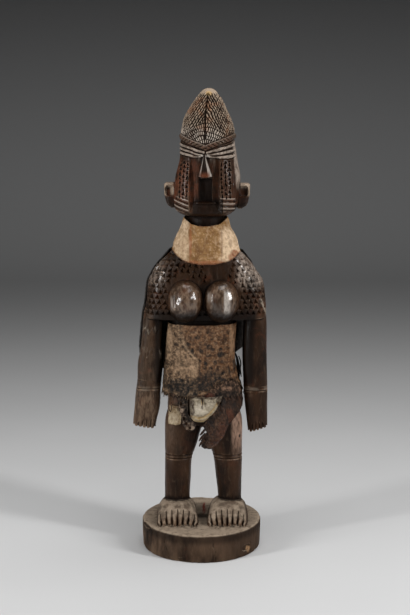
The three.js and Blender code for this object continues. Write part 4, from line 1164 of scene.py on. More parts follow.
def mesh_points(mesh: bpy.types.Mesh) -> Array:
    """Returns the mesh's points in mm."""
    points = np.empty(len(mesh.vertices) * 3)
    mesh.vertices.foreach_get("co", points)
    return points.reshape(-1, 3) / MM


def store(mesh: bpy.types.Mesh, name: str, values: Array) -> None:
    """Stores one value for each of the mesh's points."""
    mesh.attributes.new(name, "FLOAT", "POINT").data.foreach_set("value", values.astype(np.float32))


def mark_hollows(mesh: bpy.types.Mesh, steps: int) -> None:
    """Stores how deep each point lies in a cut, as "hollow", below zero on edges that stand out."""
    count = len(mesh.vertices)
    points = mesh_points(mesh)
    normals = np.empty(count * 3)
    mesh.vertices.foreach_get("normal", normals)
    normals = normals.reshape(-1, 3)
    edges = np.empty(len(mesh.edges) * 2, dtype=np.int32)
    mesh.edges.foreach_get("vertices", edges)
    a, b = edges.reshape(-1, 2).T
    degree = np.maximum(np.bincount(a, minlength=count) + np.bincount(b, minlength=count), 1)
    length = np.linalg.norm(points[a] - points[b], axis=1)
    mean = (np.bincount(a, length, count) + np.bincount(b, length, count)) / degree
    even = points.copy()
    for _ in range(steps):
        for axis in range(3):
            even[:, axis] = (np.bincount(a, even[b, axis], count) + np.bincount(b, even[a, axis], count)) / degree
    store(mesh, "hollow", ((even - points) * normals).sum(axis=1) / np.maximum(mean / 0.9, 1) ** 1.5)


def dressed(mesh: bpy.types.Mesh, finish: bpy.types.Material, sharp: float) -> bpy.types.Object:
    """Gives the whole mesh one finish, smooth but for edges over that angle in degrees, and returns its holder."""
    mesh.materials.clear()
    mesh.materials.append(finish)
    for face in mesh.polygons:
        face.material_index = 0
    mesh.shade_smooth()
    mesh.set_sharp_from_angle(angle=math.radians(sharp))
    return hold(mesh)


# Finishes


class Term:
    """A value in a material, used in sums like a plain number."""

    def __init__(self, palette: "Palette", socket: bpy.types.NodeSocket) -> None:
        """Keeps the palette that adds the nodes and the socket that holds the value."""
        self.palette, self.socket = palette, socket

    def __add__(self, other: object) -> "Term":
        """Returns the sum of two values."""
        return self.palette.math("ADD", self, other)

    def __sub__(self, other: object) -> "Term":
        """Returns this value less the other."""
        return self.palette.math("SUBTRACT", self, other)

    def __rsub__(self, other: float) -> "Term":
        """Returns a plain number less this value."""
        return self.palette.math("SUBTRACT", other, self)

    def __mul__(self, other: object) -> "Term":
        """Returns the product of two values."""
        return self.palette.math("MULTIPLY", self, other)

    def __truediv__(self, other: float) -> "Term":
        """Returns this value divided by a plain number."""
        return self.palette.math("DIVIDE", self, other)

    def __abs__(self) -> "Term":
        """Returns the value without its sign."""
        return self.palette.math("ABSOLUTE", self)


class Palette:
    """Builds one material's node tree, with its colour laid on tone over tone."""

    def __init__(self, name: str) -> None:
        """Starts a material with a bare surface shader."""
        self.material = bpy.data.materials.new(name)
        self.material.use_nodes = True
        self.tree = self.material.node_tree
        self.shader = self.tree.nodes["Principled BSDF"]
        self.place = self.tree.nodes.new("ShaderNodeTexCoord").outputs["Object"]
        self.colour: object = None

    def node(self, kind: str, **settings: object) -> bpy.types.Node:
        """Adds a node with the given settings."""
        return added(self.tree, kind, **settings)

    def put(self, socket: bpy.types.NodeSocket, value: object) -> None:
        """Sets a socket to a number or colour, or links it to another value."""
        value = value.socket if isinstance(value, Term) else value
        if isinstance(value, bpy.types.NodeSocket):
            self.tree.links.new(value, socket)
        elif isinstance(value, tuple) and len(value) == 3 and socket.type == "RGBA":
            socket.default_value = (*value, 1.0)
        else:
            socket.default_value = value

    def fill(self, node: bpy.types.Node, values: dict, output: object = 0) -> Term:
        """Sets a node's inputs by name or number and returns one of its outputs."""
        for key, value in values.items():
            self.put(node.inputs[key], value)
        return Term(self, node.outputs[output])

    def math(self, operation: str, a: object, b: object = 0.0, clamp: bool = False) -> Term:
        """Returns the result of a sum on two values."""
        return self.fill(self.node("ShaderNodeMath", operation=operation, use_clamp=clamp), {0: a, 1: b})

    def most(self, a: object, b: object) -> Term:
        """Returns the larger of two values."""
        return self.math("MAXIMUM", a, b)

    def ramp(self, value: object, low: float, high: float, to: Pair = (0.0, 1.0)) -> Term:
        """Returns a soft step between low and high."""
        node = self.node("ShaderNodeMapRange", interpolation_type="SMOOTHSTEP")
        return self.fill(node, dict(enumerate((value, low, high, *to))), "Result")

    def window(self, value: object, start: float, full: float, fade: float, end: float) -> Term:
        """Returns a share that rises softly from start to full and falls again from fade to end."""
        return self.ramp(value, start, full) * self.ramp(value, end, fade)

    def mix(self, share: object, first: object, second: object) -> Term:
        """Returns a mix of two colours."""
        return self.fill(self.node("ShaderNodeMix", data_type="RGBA"), {"Factor": share, 6: first, 7: second}, 2)

    def paint(self, share: object, tone: Colour) -> None:
        """Lays one more tone over the colour."""
        self.colour = self.mix(share, self.colour, tone)

    def stretched(self, up: float) -> Term:
        """Returns the object's coordinates, with what follows drawn out along the height."""
        return self.fill(self.node("ShaderNodeMapping"), {"Vector": self.place, "Scale": (1.0, 1.0, up)})

    def cloud(self, scale: float, detail: float = 3.0, place: object = None, rough: float = 0.55,
              warp: float = 0.0) -> Term:
        """Returns a soft random value between 0 and 1."""
        return self.fill(self.node("ShaderNodeTexNoise"), {
            "Vector": self.place if place is None else place,
            "Scale": scale, "Detail": detail, "Roughness": rough, "Distortion": warp,
        })

    def blotch(self, scale: float, detail: float, low: float, high: float, to: Pair = (0.0, 1.0),
               warp: float = 0.0) -> Term:
        """Returns a share that comes and goes in blots."""
        return self.ramp(self.cloud(scale, detail, warp=warp), low, high, to)

    def cells(self, scale: float) -> Term:
        """Returns the distance within a pattern of random cells."""
        return self.fill(self.node("ShaderNodeTexVoronoi"), {"Vector": self.place, "Scale": scale}, "Distance")

    def stored(self, name: str) -> Term:
        """Returns a value stored on the mesh."""
        return Term(self, self.node("ShaderNodeAttribute", attribute_name=name).outputs["Fac"])

    def axis(self, letter: str, of: object = None) -> Term:
        """Returns one of the object's coordinates in metres, or one part of another direction."""
        return self.fill(self.node("ShaderNodeSeparateXYZ"), {0: self.place if of is None else of}, letter)

    def bump(self, height: object, depth: float, before: object = None) -> Term:
        """Returns a surface direction disturbed by height, with depth in mm."""
        values = {"Strength": 1.0, "Distance": depth * MM, "Height": height}
        return self.fill(self.node("ShaderNodeBump"), values if before is None else {**values, "Normal": before})

    def dress(self, rough: object, normal: object, gloss: float, coat: object = 0.0) -> bpy.types.Material:
        """Connects the colour and the other finished values to the shader and returns the material."""
        self.fill(self.shader, {
            "Coat Weight": coat, "Coat Roughness": 0.14, "Base Color": self.colour, "Roughness": rough,
            "Normal": normal, "Specular IOR Level": gloss,
        })
        return self.material


class WoodPalette(Palette):
    """The wood's palette, with its places, its streaks and what the carving stores at hand."""

    def __init__(self) -> None:
        """Starts the wood's material."""
        super().__init__("carved_wood")
        self.height, self.across, self.depth = (self.axis(letter) for letter in "ZXY")
        self.hollow, self.cut, self.hair = (self.stored(name) for name in ("hollow", "cut", "hair"))
        self.grain = self.cloud(420, 4, self.stretched(0.09), 0.6, 0.4)
        self.streak = self.cloud(250, 4, self.stretched(0.32), 0.62, 0.5)
        self.patch = self.cloud(34, 4, self.stretched(0.45))

    def streaks(self, low: float, high: float, to: Pair = (0.0, 1.0)) -> Term:
        """Returns a share that follows the streaks of the wood."""
        return self.ramp(self.streak, low, high, to)

    def spot(self, centre: tuple, radius: float) -> Term:
        """Returns 1 within a ball round a point, with a soft and wavy edge."""
        far = self.fill(self.node("ShaderNodeVectorMath", operation="DISTANCE"), {0: self.place, 1: centre}, "Value")
        return self.ramp(far + self.cloud(260, 2) * (radius * 0.8), radius * 1.6, radius * 0.9)


@dataclass(frozen=True)
class CarvedWood:
    """Dark, handled wood: worn shine on its edges, red earth and dust in its cuts, painted shade in its cuts and
    hollows, and painted highlights on breasts, shoulders, thigh, nose and ears.
    """

    deep: Colour = (0.0052, 0.0026, 0.0014)
    brown: Colour = (0.042, 0.0195, 0.0092)
    worn: Colour = (0.20, 0.132, 0.086)
    bare: Colour = (0.33, 0.205, 0.145)
    red: Colour = (0.105, 0.032, 0.014)
    peg: Colour = (0.17, 0.022, 0.014)
    dust: Colour = (0.34, 0.265, 0.195)
    tan: Colour = (0.36, 0.275, 0.20)
    ash: Colour = (0.50, 0.45, 0.40)
    pale: Colour = (0.38, 0.31, 0.255)
    ginger: Colour = (0.27, 0.115, 0.05)
    gold: Colour = (0.55, 0.34, 0.11)
    chalk: Colour = (0.40, 0.34, 0.27)
    chip: Colour = (0.42, 0.25, 0.13)
    gloss: float = 0.11

    def material(self) -> bpy.types.Material:
        """Returns the wood's material, with its tones laid on from the ground up."""
        p = WoodPalette()
        self.ground(p)
        breast = self.body(p)
        self.painted_shade(p)
        self.head(p)
        dark = self.cuts(p)
        self.foot(p)
        chest = p.ramp(p.height, 0.375, 0.425, (0.0, 0.42)) * p.ramp(p.height, 0.475, 0.465)
        polish = p.most(breast, p.most(chest, p.ramp(p.height, 0.5, 0.52, (0.0, 0.15))))
        fine = p.cloud(1500, 3, p.stretched(0.3))
        shine = p.streaks(0.35, 0.65, (0.24, 0.46)) + p.ramp(fine, 0.3, 0.7) * 0.1
        dull = dark * 0.4 + p.hair * 0.25
        rough = p.math("ADD", shine, dull + p.ramp(p.height, 0.09, 0.05, (0.0, 0.38)), clamp=True)
        normal = p.bump(fine, 0.16, p.bump(p.grain, 0.4, p.bump(p.streak, 0.35)))
        clean = p.math("SUBTRACT", 1.0, dull, clamp=True) * p.ramp(p.hair, 1.0, 0.0)
        return p.dress(rough, normal, self.gloss, polish * p.streaks(0.36, 0.58, (0.25, 1.0)) * clean)

    def ground(self, p: WoodPalette) -> None:
        """Lays on the wood's own browns, its red earth and the wear on its edges."""
        p.colour = p.mix(p.ramp(p.patch, 0.25, 0.75), self.deep, self.brown)
        p.paint(p.streaks(0.54, 0.72) * 0.15, self.worn)
        p.paint(p.ramp(p.grain, 0.56, 0.76) * 0.1, self.worn)
        earth = p.blotch(60, 3, 0.54, 0.68, warp=0.5) * 0.32
        p.paint(earth * p.ramp(p.height, 0.05, 0.3, (0.3, 1.0)), self.red)
        face = p.window(p.height, 0.515, 0.53, 0.575, 0.59) * p.ramp(p.across, 0.012, -0.02, (0.2, 0.85))
        p.paint(face * p.blotch(90, 3, 0.35, 0.6), self.red)
        edge = p.ramp(p.hollow, -0.09, -0.3) * p.streaks(0.35, 0.6, (0.2, 1.0))
        p.paint(edge * p.ramp(p.height, 0.505, 0.52, (0.8, 0.3)), self.worn)

    def body(self, p: WoodPalette) -> Term:
        """Lays on painted highlights, partly on worn wood, on thigh, shoulders and breasts, painted shade on the
        breasts and a small hole in the thigh, the wear of the left side and hand, and returns where the breasts shine.
        """
        # Painted highlight on the right thigh's outer side, on partly worn bare wood, and a small hole painted only as
        # a dark spot of shade.
        thigh = p.window(p.across, 0.044, 0.050, 0.063, 0.066) * p.ramp(p.depth, 0.012, -0.006)
        thigh = thigh * p.window(p.height, 0.13, 0.18, 0.205, 0.212)
        p.paint(thigh * p.streaks(0.35, 0.6, (0.25, 0.8)), self.bare)
        p.paint(p.spot((0.0585, -0.0155, 0.172), 0.0028), self.deep)
        # Painted highlight of the side lights on the shoulders, stronger on the right, on partly worn wood.
        level = p.window(p.height, 0.392, 0.412, 0.445, 0.456)
        for near, far, share in ((0.048, 0.060, 0.9), (-0.046, -0.058, 0.4)):
            shoulder = level * p.ramp(p.across, near, far, (0.0, share))
            p.paint(shoulder * p.streaks(0.38, 0.6, (0.1, 0.75)), self.pale)
        # Paler breasts: worn shine, partly a painted sheen; the same mask sets where the coat shines.
        breast = p.most(*(p.spot((x, -0.062, 0.386), 0.03) for x in (-0.022, 0.031)))
        p.paint(breast * p.streaks(0.4, 0.62, (0.1, 0.6)), self.worn)
        # Painted highlights (ash) where the lights reflect on the breasts, and painted shade (deep) between them and
        # beneath the left breast, on partly worn wood.
        for left, right, low, high, share, tone in (
            (0.0345, 0.0415, 0.364, 0.398, 0.75, self.ash), (0.011, 0.0145, 0.384, 0.394, 0.4, self.ash),
            (0.018, 0.031, 0.352, 0.39, 0.6, self.deep), (-0.042, -0.039, 0.37, 0.388, 0.4, self.ash),
            (-0.021, -0.008, 0.35, 0.372, 0.5, self.deep),
        ):
            strip = p.window(p.across, left - 0.0015, left + 0.001, right - 0.002, right + 0.004)
            strip = strip * p.window(p.height, low - 0.006, low + 0.006, high - 0.005, high + 0.005)
            strip = strip * p.streaks(0.3, 0.6, (0.35 * share, share))
            p.paint(strip * p.ramp(p.depth, -0.038, -0.046), tone)
        left_side = p.ramp(p.across, -0.02, -0.045) * p.window(p.height, 0.13, 0.17, 0.35, 0.37)
        p.paint(left_side * p.streaks(0.3, 0.6, (0.05, 0.2)), self.worn)
        hand = p.window(p.height, 0.15, 0.16, 0.230, 0.243) * p.ramp(p.across, -0.060, -0.064)
        p.paint(hand * p.streaks(0.4, 0.62, (0.1, 0.5)), self.worn)
        return breast

    def painted_shade(self, p: WoodPalette) -> None:
        """Lays on painted shade at the neck below the chin, under the breasts and between the arms and the body, and a
        faint dark band at the ankles.
        """
        side = abs(p.across - 0.006)
        # Rows of painted shade: lowest and highest level, reach from the middle and strength.
        for low, high, reach, amount in (
            (0.464, 0.507, 0.03, 0.75), (0.345, 0.366, 0.075, 0.88), (0.25, 0.352, 0.073, 0.92),
            (0.055, 0.063, 0.1, 0.3),
        ):
            level = p.window(p.height, low - 0.005, low + 0.005, high - 0.005, high + 0.005)
            p.paint(level * p.ramp(side, reach + 0.004, reach - 0.004, (0.0, amount)), self.deep)

    def head(self, p: WoodPalette) -> None:
        """Lays on the pale and ginger plaits, the dark band, the pale brow ridges, the face and the chin."""
        crest = p.hair * p.ramp(p.cut, 1.1, -0.1, (0.1, 0.9))
        p.paint(crest * p.blotch(150, 3, 0.3, 0.6, (0.45, 1.0)), self.tan)
        p.paint(p.hair * p.blotch(48, 2, 0.5, 0.64, warp=0.4) * 0.45, self.ginger)
        fan = p.ramp(p.height, 0.638, 0.618) * p.ramp(abs(p.across), 0.036, 0.022)
        p.paint(fan * crest * 0.6, self.ash)
        p.paint(p.ramp(p.height + p.patch * 0.02, 0.674, 0.692) * 0.6, self.tan)
        p.paint(p.spot((0.0125, -0.012, 0.6765), 0.005) * 0.5, self.gold)
        band = p.stored("band") * p.ramp(p.cut, -1.0, -1.9, (0.05, 0.95))
        p.paint(band * p.blotch(170, 3, 0.3, 0.6, (0.4, 1.0)), self.pale)
        p.paint(p.ramp(p.stored("crest"), 0.3, 1.0) * p.blotch(190, 4, 0.35, 0.6, (0.3, 0.8)), self.pale)
        self.nose_and_mouth(p)
        self.cheeks(p)
        chin = p.window(p.height, 0.505, 0.508, 0.526, 0.532) * p.ramp(abs(p.across - 0.011), 0.0225, 0.0205)
        p.paint(chin * p.ramp(p.depth, 0.0, -0.01, (0.0, 0.8)), self.deep)

    def nose_and_mouth(self, p: WoodPalette) -> None:
        """Lays on painted highlights on the nose's sides, painted shade on its ridge, its red tip, and painted shade in
        the open mouth.
        """
        off = abs(p.across - 0.0060) - p.ramp(p.height, 0.5905, 0.561, (0.0012, 0.0048))
        nose = p.ramp(p.depth, -0.0365, -0.039) * p.window(p.height, 0.559, 0.562, 0.590, 0.5935)
        # Painted highlights on the nose's side facets and painted shade on its front.
        p.paint(nose * p.window(off, -0.0002, 0.0005, 0.0052, 0.0074) * 0.62, self.ash)
        p.paint(nose * p.ramp(off, 0.0002, -0.0004, (0.0, 0.9)), self.deep)
        p.paint(nose * p.ramp(off, 0.004, 0.002) * p.ramp(p.height, 0.570, 0.563, (0.0, 0.8)), self.red)
        # Painted shade in the open mouth, under the nose.
        mouth = p.ramp(abs(p.across - 0.0074), 0.0108, 0.0094) * p.ramp(p.depth, 0.0, -0.01)
        mouth = mouth * p.ramp(p.height, 0.523, 0.5255) * p.ramp(p.height, 0.5595, 0.5575, (0.0, 0.9))
        p.paint(mouth, self.deep)

    def cheeks(self, p: WoodPalette) -> None:
        """Lays on the pale slanting lines at the corners of the mouth and the pale temple."""
        side = abs(p.across - 0.006)
        line = p.height - p.ramp(p.across, 0.004, 0.008, (0.32, -0.1)) * (side - 0.033)
        line = p.math("FRACT", (line - 0.5106) / 0.00725)
        line = p.ramp(abs(line - 0.5), 0.18, 0.04, (0.0, 0.7))
        corner = p.window(side, 0.022, 0.0235, 0.043, 0.045) * p.window(p.height, 0.508, 0.510, 0.5295, 0.5315)
        p.paint(corner * line * p.ramp(p.depth, -0.008, -0.014), self.pale)
        temple = p.ramp(p.across + (p.height - 0.585) * 0.093, 0.0465, 0.0495) * p.ramp(p.depth, 0.012, -0.006)
        temple = temple * p.window(p.height, 0.535, 0.555, 0.604, 0.612)
        p.paint(temple * p.blotch(120, 4, 0.3, 0.6, (0.25, 0.75)), self.pale)

    def cuts(self, p: WoodPalette) -> Term:
        """Darkens cuts and hollows, and the gap between the feet, with painted shade, lays on the ears' pale rims, and
        returns where it is dark.
        """
        off = abs(p.across - 0.010)
        ear = p.ramp(p.height, 0.503, 0.508) * p.ramp(off, 0.0475, 0.0495)
        # Painted shade: the deeper a point lies in a cut or hollow, the darker it is painted.
        dark = p.most(p.ramp(p.hollow, 0.05, 0.28), p.ramp(p.cut, 0.45, 1.5))
        dark = dark * (1.0 - ear * 0.7) * (1.0 - p.hair * 0.22)
        p.paint(dark * 0.93, self.deep)
        # Pale rims on the ears' tops and edges: partly worn wood, partly a painted highlight of the light from above.
        outer = p.ramp(p.height, 0.527, 0.531) * p.ramp(off, 0.057, 0.0595)
        inner = p.ramp(off, 0.0545, 0.0525) * p.ramp(p.height, 0.528, 0.532) * p.ramp(p.across, 0.0, -0.01)
        rim = ear * p.most(p.most(p.ramp(p.height, 0.5395, 0.543), outer), inner)
        p.paint(rim * p.streaks(0.35, 0.6, (0.3, 0.85)), self.tan)
        p.paint(ear * p.ramp(p.height, 0.530, 0.526, (0.0, 0.6)), self.deep)
        p.paint(p.stored("chalk") * 0.45, self.chalk)
        return dark

    def foot(self, p: WoodPalette) -> None:
        """Lays on the dust of feet and base, the base's worn side and lip, painted shade under the lip, painted shade
        between the feet, the peg and a chip.
        """
        up = p.ramp(p.axis("Z", p.node("ShaderNodeNewGeometry").outputs["Normal"]), 0.1, 0.8)
        dusty = p.ramp(p.height + p.streak * 0.03, 0.118, 0.075) * up * p.blotch(95, 4, 0.35, 0.62, (0.3, 0.95))
        p.paint(dusty * p.ramp(p.hollow, 0.2, 0.0, (0.2, 0.9)), self.dust)
        side = p.ramp(p.height, 0.044, 0.036)
        p.paint(side * p.ramp(p.patch, 0.3, 0.7) * p.ramp(p.across, -0.055, -0.02, (0.62, 0.3)), self.worn)
        right = side * p.ramp(p.across, 0.02, 0.06, (0.0, 0.4))
        p.paint(right * p.ramp(p.patch, 0.3, 0.7, (0.5, 1.0)), self.deep)
        lip = p.window(p.height, 0.0395, 0.041, 0.0425, 0.044)
        p.paint(lip * p.streaks(0.3, 0.6, (0.1, 0.7)), self.dust)
        # Painted shade on the base's side just under its rounded lip.
        p.paint(p.ramp(p.height, 0.041, 0.0395) * p.ramp(p.height, 0.024, 0.034, (0.0, 0.6)), self.deep)
        # Painted shade on the base's top between the feet.
        shade_between_feet = p.spot((0.0015, 0.0, 0.045), 0.0125) * p.streaks(0.3, 0.6, (0.45, 0.8))
        p.paint(shade_between_feet * p.ramp(p.height, 0.056, 0.052), self.deep)
        p.paint(p.stored("paint"), self.peg)
        p.paint(p.spot((0.0715, -0.055, 0.010), 0.0055) * p.streaks(0.42, 0.6, (0.1, 0.75)), self.chip)


# The studio


@dataclass
class Studio:
    """A pale floor, darkened behind and up the backdrop by painted shade, soft light from both sides and the camera."""

    camera_at: tuple = (0.007, -2.09346, 0.78571)
    camera_turn: float = 78.597
    lens: float = 85.0
    aim: tuple = (0.0, 0.0, 0.36)
    lights: tuple = (
        ("left_light", (-1.3, -0.75, 0.62), (0.12, 1.2), 17.0),
        ("right_light", (1.3, -0.8, 0.95), (0.16, 1.2), 21.0),
        ("top_light", (0.15, -0.05, 1.95), (1.4, 1.0), 17.0),
    )

    def build(self) -> None:
        """Sets up the floor, the lights and the camera."""
        scene = bpy.context.scene
        camera = bpy.data.objects.new("camera", bpy.data.cameras.new("camera"))
        camera.data.lens = self.lens
        camera.data.sensor_width = 36.0
        camera.location = self.camera_at
        camera.rotation_euler = (math.radians(self.camera_turn), 0.0, 0.0)
        scene.collection.objects.link(camera)
        scene.camera = camera
        scene.view_settings.view_transform = "Standard"
        for name, place, size, power in self.lights:
            self.light(name, place, size, power)
        world = bpy.data.worlds.new("studio")
        world.use_nodes = True
        air = world.node_tree.nodes["Background"].inputs
        air["Color"].default_value, air["Strength"].default_value = (0.98, 0.99, 1.0, 1.0), 0.1
        scene.world = world
        self.floor()

    def light(self, name: str, place: tuple, size: Pair, power: float) -> None:
        """Hangs one soft rectangular light that shines on the figure."""
        data = bpy.data.lights.new(name, "AREA")
        data.shape = "RECTANGLE"
        data.size, data.size_y, data.energy = *size, power
        lamp = bpy.data.objects.new(name, data)
        lamp.location = place
        lamp.rotation_euler = (Vector(self.aim) - Vector(place)).to_track_quat("-Z", "Y").to_euler()
        bpy.context.scene.collection.objects.link(lamp)

    def floor(self) -> None:
        """Lays a pale floor that bends up into the backdrop far behind, painted darker further back and higher up as
        shade.
        """
        turns = np.linspace(0, BACK, 16)
        profile = [(-3.0, 0.0)] + [(2.2 + 1.2 * math.sin(t), 1.2 - 1.2 * math.cos(t)) for t in turns] + [(3.4, 4.5)]
        points = [(x, y, z) for y, z in profile for x in (-4.5, 4.5)]
        faces = [(2 * i, 2 * i + 1, 2 * i + 3, 2 * i + 2) for i in range(len(profile) - 1)]
        mesh = plain_mesh("floor", np.array(points), [], faces)
        mesh.shade_smooth()
        p = Palette("floor_paper")
        p.colour = p.mix(p.blotch(2.0, 2, 0.3, 0.7), (0.60, 0.60, 0.60), (0.63, 0.63, 0.63))
        # Painted shade: the floor darkens further back, and the backdrop as it rises.
        p.paint(p.ramp(p.axis("Y"), 0.0, 2.1), (0.33, 0.33, 0.33))
        p.paint(p.ramp(p.axis("Z"), 0.0, 1.2), (0.07, 0.07, 0.07))
        mesh.materials.append(p.dress(0.85, p.bump(p.cloud(300, 2), 0.05), 0.2))
        hold(mesh)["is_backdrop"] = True


# Hide, rawhide and leather


@dataclass(frozen=True)
class StainOrPaintedLight:
    """A soft blot of one tone at a place seen from the front, sizes in mm, used for real stains and for painted shade
    and highlights.
    """

    x: float
    z: float
    wide: float
    high: float
    amount: float = 1.0

    def cover(self, points: Array) -> Array:
        """Returns how far the blot covers each place."""
        dx, dz = (points[..., 0] - self.x) / self.wide, (points[..., 2] - self.z) / self.high
        far = np.hypot(dx, dz) + 0.45 * noise(points, 9, 91, 3)
        return self.amount * smooth(1.15, 0.7, far)


@dataclass(frozen=True)
class HideFinish:
    """Old hide: its main colours, and how rough and how mottled it is."""

    name: str
    base: Colour
    second: Colour
    pale: Colour
    dark: Colour
    red: Colour
    rough: float = 0.72
    pores: float = 520.0
    bump: float = 0.5
    speck: float = 0.5

    def material(self) -> bpy.types.Material:
        """Returns the hide's material."""
        p = Palette(self.name)
        broad, small = p.cloud(70, 4, warp=0.6), p.cloud(330, 4)
        p.colour = p.mix(p.ramp(broad, 0.38, 0.62), self.base, self.second)
        p.paint(p.ramp(small, 0.5, 0.66) * self.speck, self.pale)
        p.paint(p.ramp(small, 0.48, 0.34) * self.speck, self.dark)
        broken = p.blotch(210, 3, 0.3, 0.6, (0.45, 1.0))
        for label in ("pale", "red", "dark"):
            p.paint(p.math("MULTIPLY", p.stored(label), broken, clamp=True), getattr(self, label))
        wrinkle = p.ramp(p.cloud(150, 5, p.stretched(0.45), 0.65, 0.8), 0.3, 0.7)
        normal = p.bump(p.ramp(p.cells(self.pores), 0.0, 0.45), self.bump * 0.35, p.bump(wrinkle, self.bump * 1.6))
        return p.dress(self.rough - p.ramp(broad, 0.45, 0.7) * 0.14, normal, 0.2)


@dataclass
class Hide:
    """A piece of hide laid on the figure, made as one closed thin sheet."""

    name: str
    slot: str
    finish: HideFinish
    flat: Pair
    area: float
    held: str
    rests_on: tuple
    thickness: float = 1.6
    stains_and_painted_light: dict = field(default_factory=dict)
    wrinkle: float = 0.8
    crease: float = 9.0
    dark_rows: float = 2.5

    def grid(self) -> tuple[Array, bool]:
        """Returns the outer side as a grid of points in mm, and whether it runs all round."""
        raise NotImplementedError

    def tones(self, points: Array) -> dict:
        """Returns the share of each tone at each place."""
        empty = np.zeros(points.shape[:-1])
        return {
            tone: np.clip(sum((StainOrPaintedLight(*row).cover(points) for row in self.stains_and_painted_light.get(tone, ())), empty), 0, 1)
            for tone in ("pale", "red", "dark")
        }

    def mesh(self) -> bpy.types.Mesh:
        """Returns the sheet as a closed mesh that carries its tones."""
        outer, closed = self.grid()
        normal = sheet_normals(outer, closed)
        depth = np.full(outer.shape[:2], self.thickness)
        depth *= 1 + 0.25 * noise(outer, 12, 95, 2)
        for rim in (0, -1):
            depth[rim] *= 0.45
        folds = crumple(outer, self.crease, 97)
        strength = min(self.wrinkle, 1)
        # Painted highlight on the crumples' ridges and painted shade in their creases.
        tones = lay_on(self.tones(outer), pale=0.55 * smooth(0.7, 0.9, folds) * strength,
                       dark=0.6 * smooth(0.4, 0.15, folds) * strength)
        tones["dark"] = np.maximum(tones["dark"], self.border(outer.shape[:2], closed))
        outer = outer + normal * (self.wrinkle * (folds - 0.55))[..., None]
        inner = outer - normal * depth[..., None]
        mesh = slab_shell(outer, inner, closed).mesh(self.name)
        for label, values in tones.items():
            both = np.concatenate([values.ravel(), values.ravel() * 0.6])
            store(mesh, label, both)
        return mesh

    def border(self, shape: tuple, closed: bool) -> Array:
        """Returns the dark edge of the sheet, by rows and columns from its sides and lower end."""
        rows, columns = np.indices(shape)
        near = shape[0] - 1 - rows
        if not closed:
            near = np.minimum(near, np.minimum(columns, shape[1] - 1 - columns))
        return 0.85 * smooth(self.dark_rows, 0.3 * self.dark_rows, near)

    def loose(self) -> list:
        """Returns the paths of the loose threads and shreds of the same hide."""
        return []

    def build(self) -> bpy.types.Object:
        material = self.finish.material()
        mesh = self.finished(self.mesh())
        if self.loose():
            mesh = merged(mesh, Threads(f"{self.name}_threads", self.loose()).mesh())
        piece = dressed(mesh, material, 55)
        piece.name = self.name
        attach(piece, "root")
        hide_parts(self.slot)
        return piece

    def finished(self, mesh: bpy.types.Mesh) -> bpy.types.Mesh:
        """Returns the mesh after cuts of its own; most hides have none."""
        return mesh

    def declare(self, piece: bpy.types.Object) -> None:
        """Reads the pieces the sheet rests on and keeps nothing."""
        list(self.rests_on)


def lay_on(tones: dict, **shares: Array) -> dict:
    """Adds shares to the tones, up to full cover, and returns the tones."""
    return {**tones, **{tone: np.clip(tones[tone] + share, 0, 1) for tone, share in shares.items()}}


def merged(mesh: bpy.types.Mesh, other: bpy.types.Mesh) -> bpy.types.Mesh:
    """Returns both meshes as one, side by side."""
    first, second = hold(mesh), hold(other)
    with bpy.context.temp_override(active_object=first, selected_editable_objects=[first, second]):
        bpy.ops.object.join()
    result = first.data
    bpy.data.objects.remove(first)
    return result


def sheet_normals(points: Array, closed: bool) -> Array:
    """Returns the outward directions of a grid whose rows run down."""
    across = np.roll(points, -1, axis=1) - np.roll(points, 1, axis=1) if closed else np.gradient(points, axis=1)
    down = np.gradient(points, axis=0)
    normal = np.cross(down, across)
    return normal / np.maximum(np.linalg.norm(normal, axis=-1, keepdims=True), 1e-9)


def ragged(place: Array, cell: float, seed: int, octaves: int = 3) -> Array:
    """Returns an uneven edge, between about -1 and 1, along a place in mm."""
    points = np.stack([place, np.zeros_like(place), np.zeros_like(place)], axis=-1)
    return noise(points + seed * 3.7, cell, seed, octaves)


def fold_lines(x: Array, z: Array, lines: Sequence, wide: float) -> Array:
    """Returns soft ridges, 1 on the lines and 0 at their width."""
    return sum(np.clip(1 - line_distance(x, z, line) / wide, 0, 1) ** 2 for line in lines)


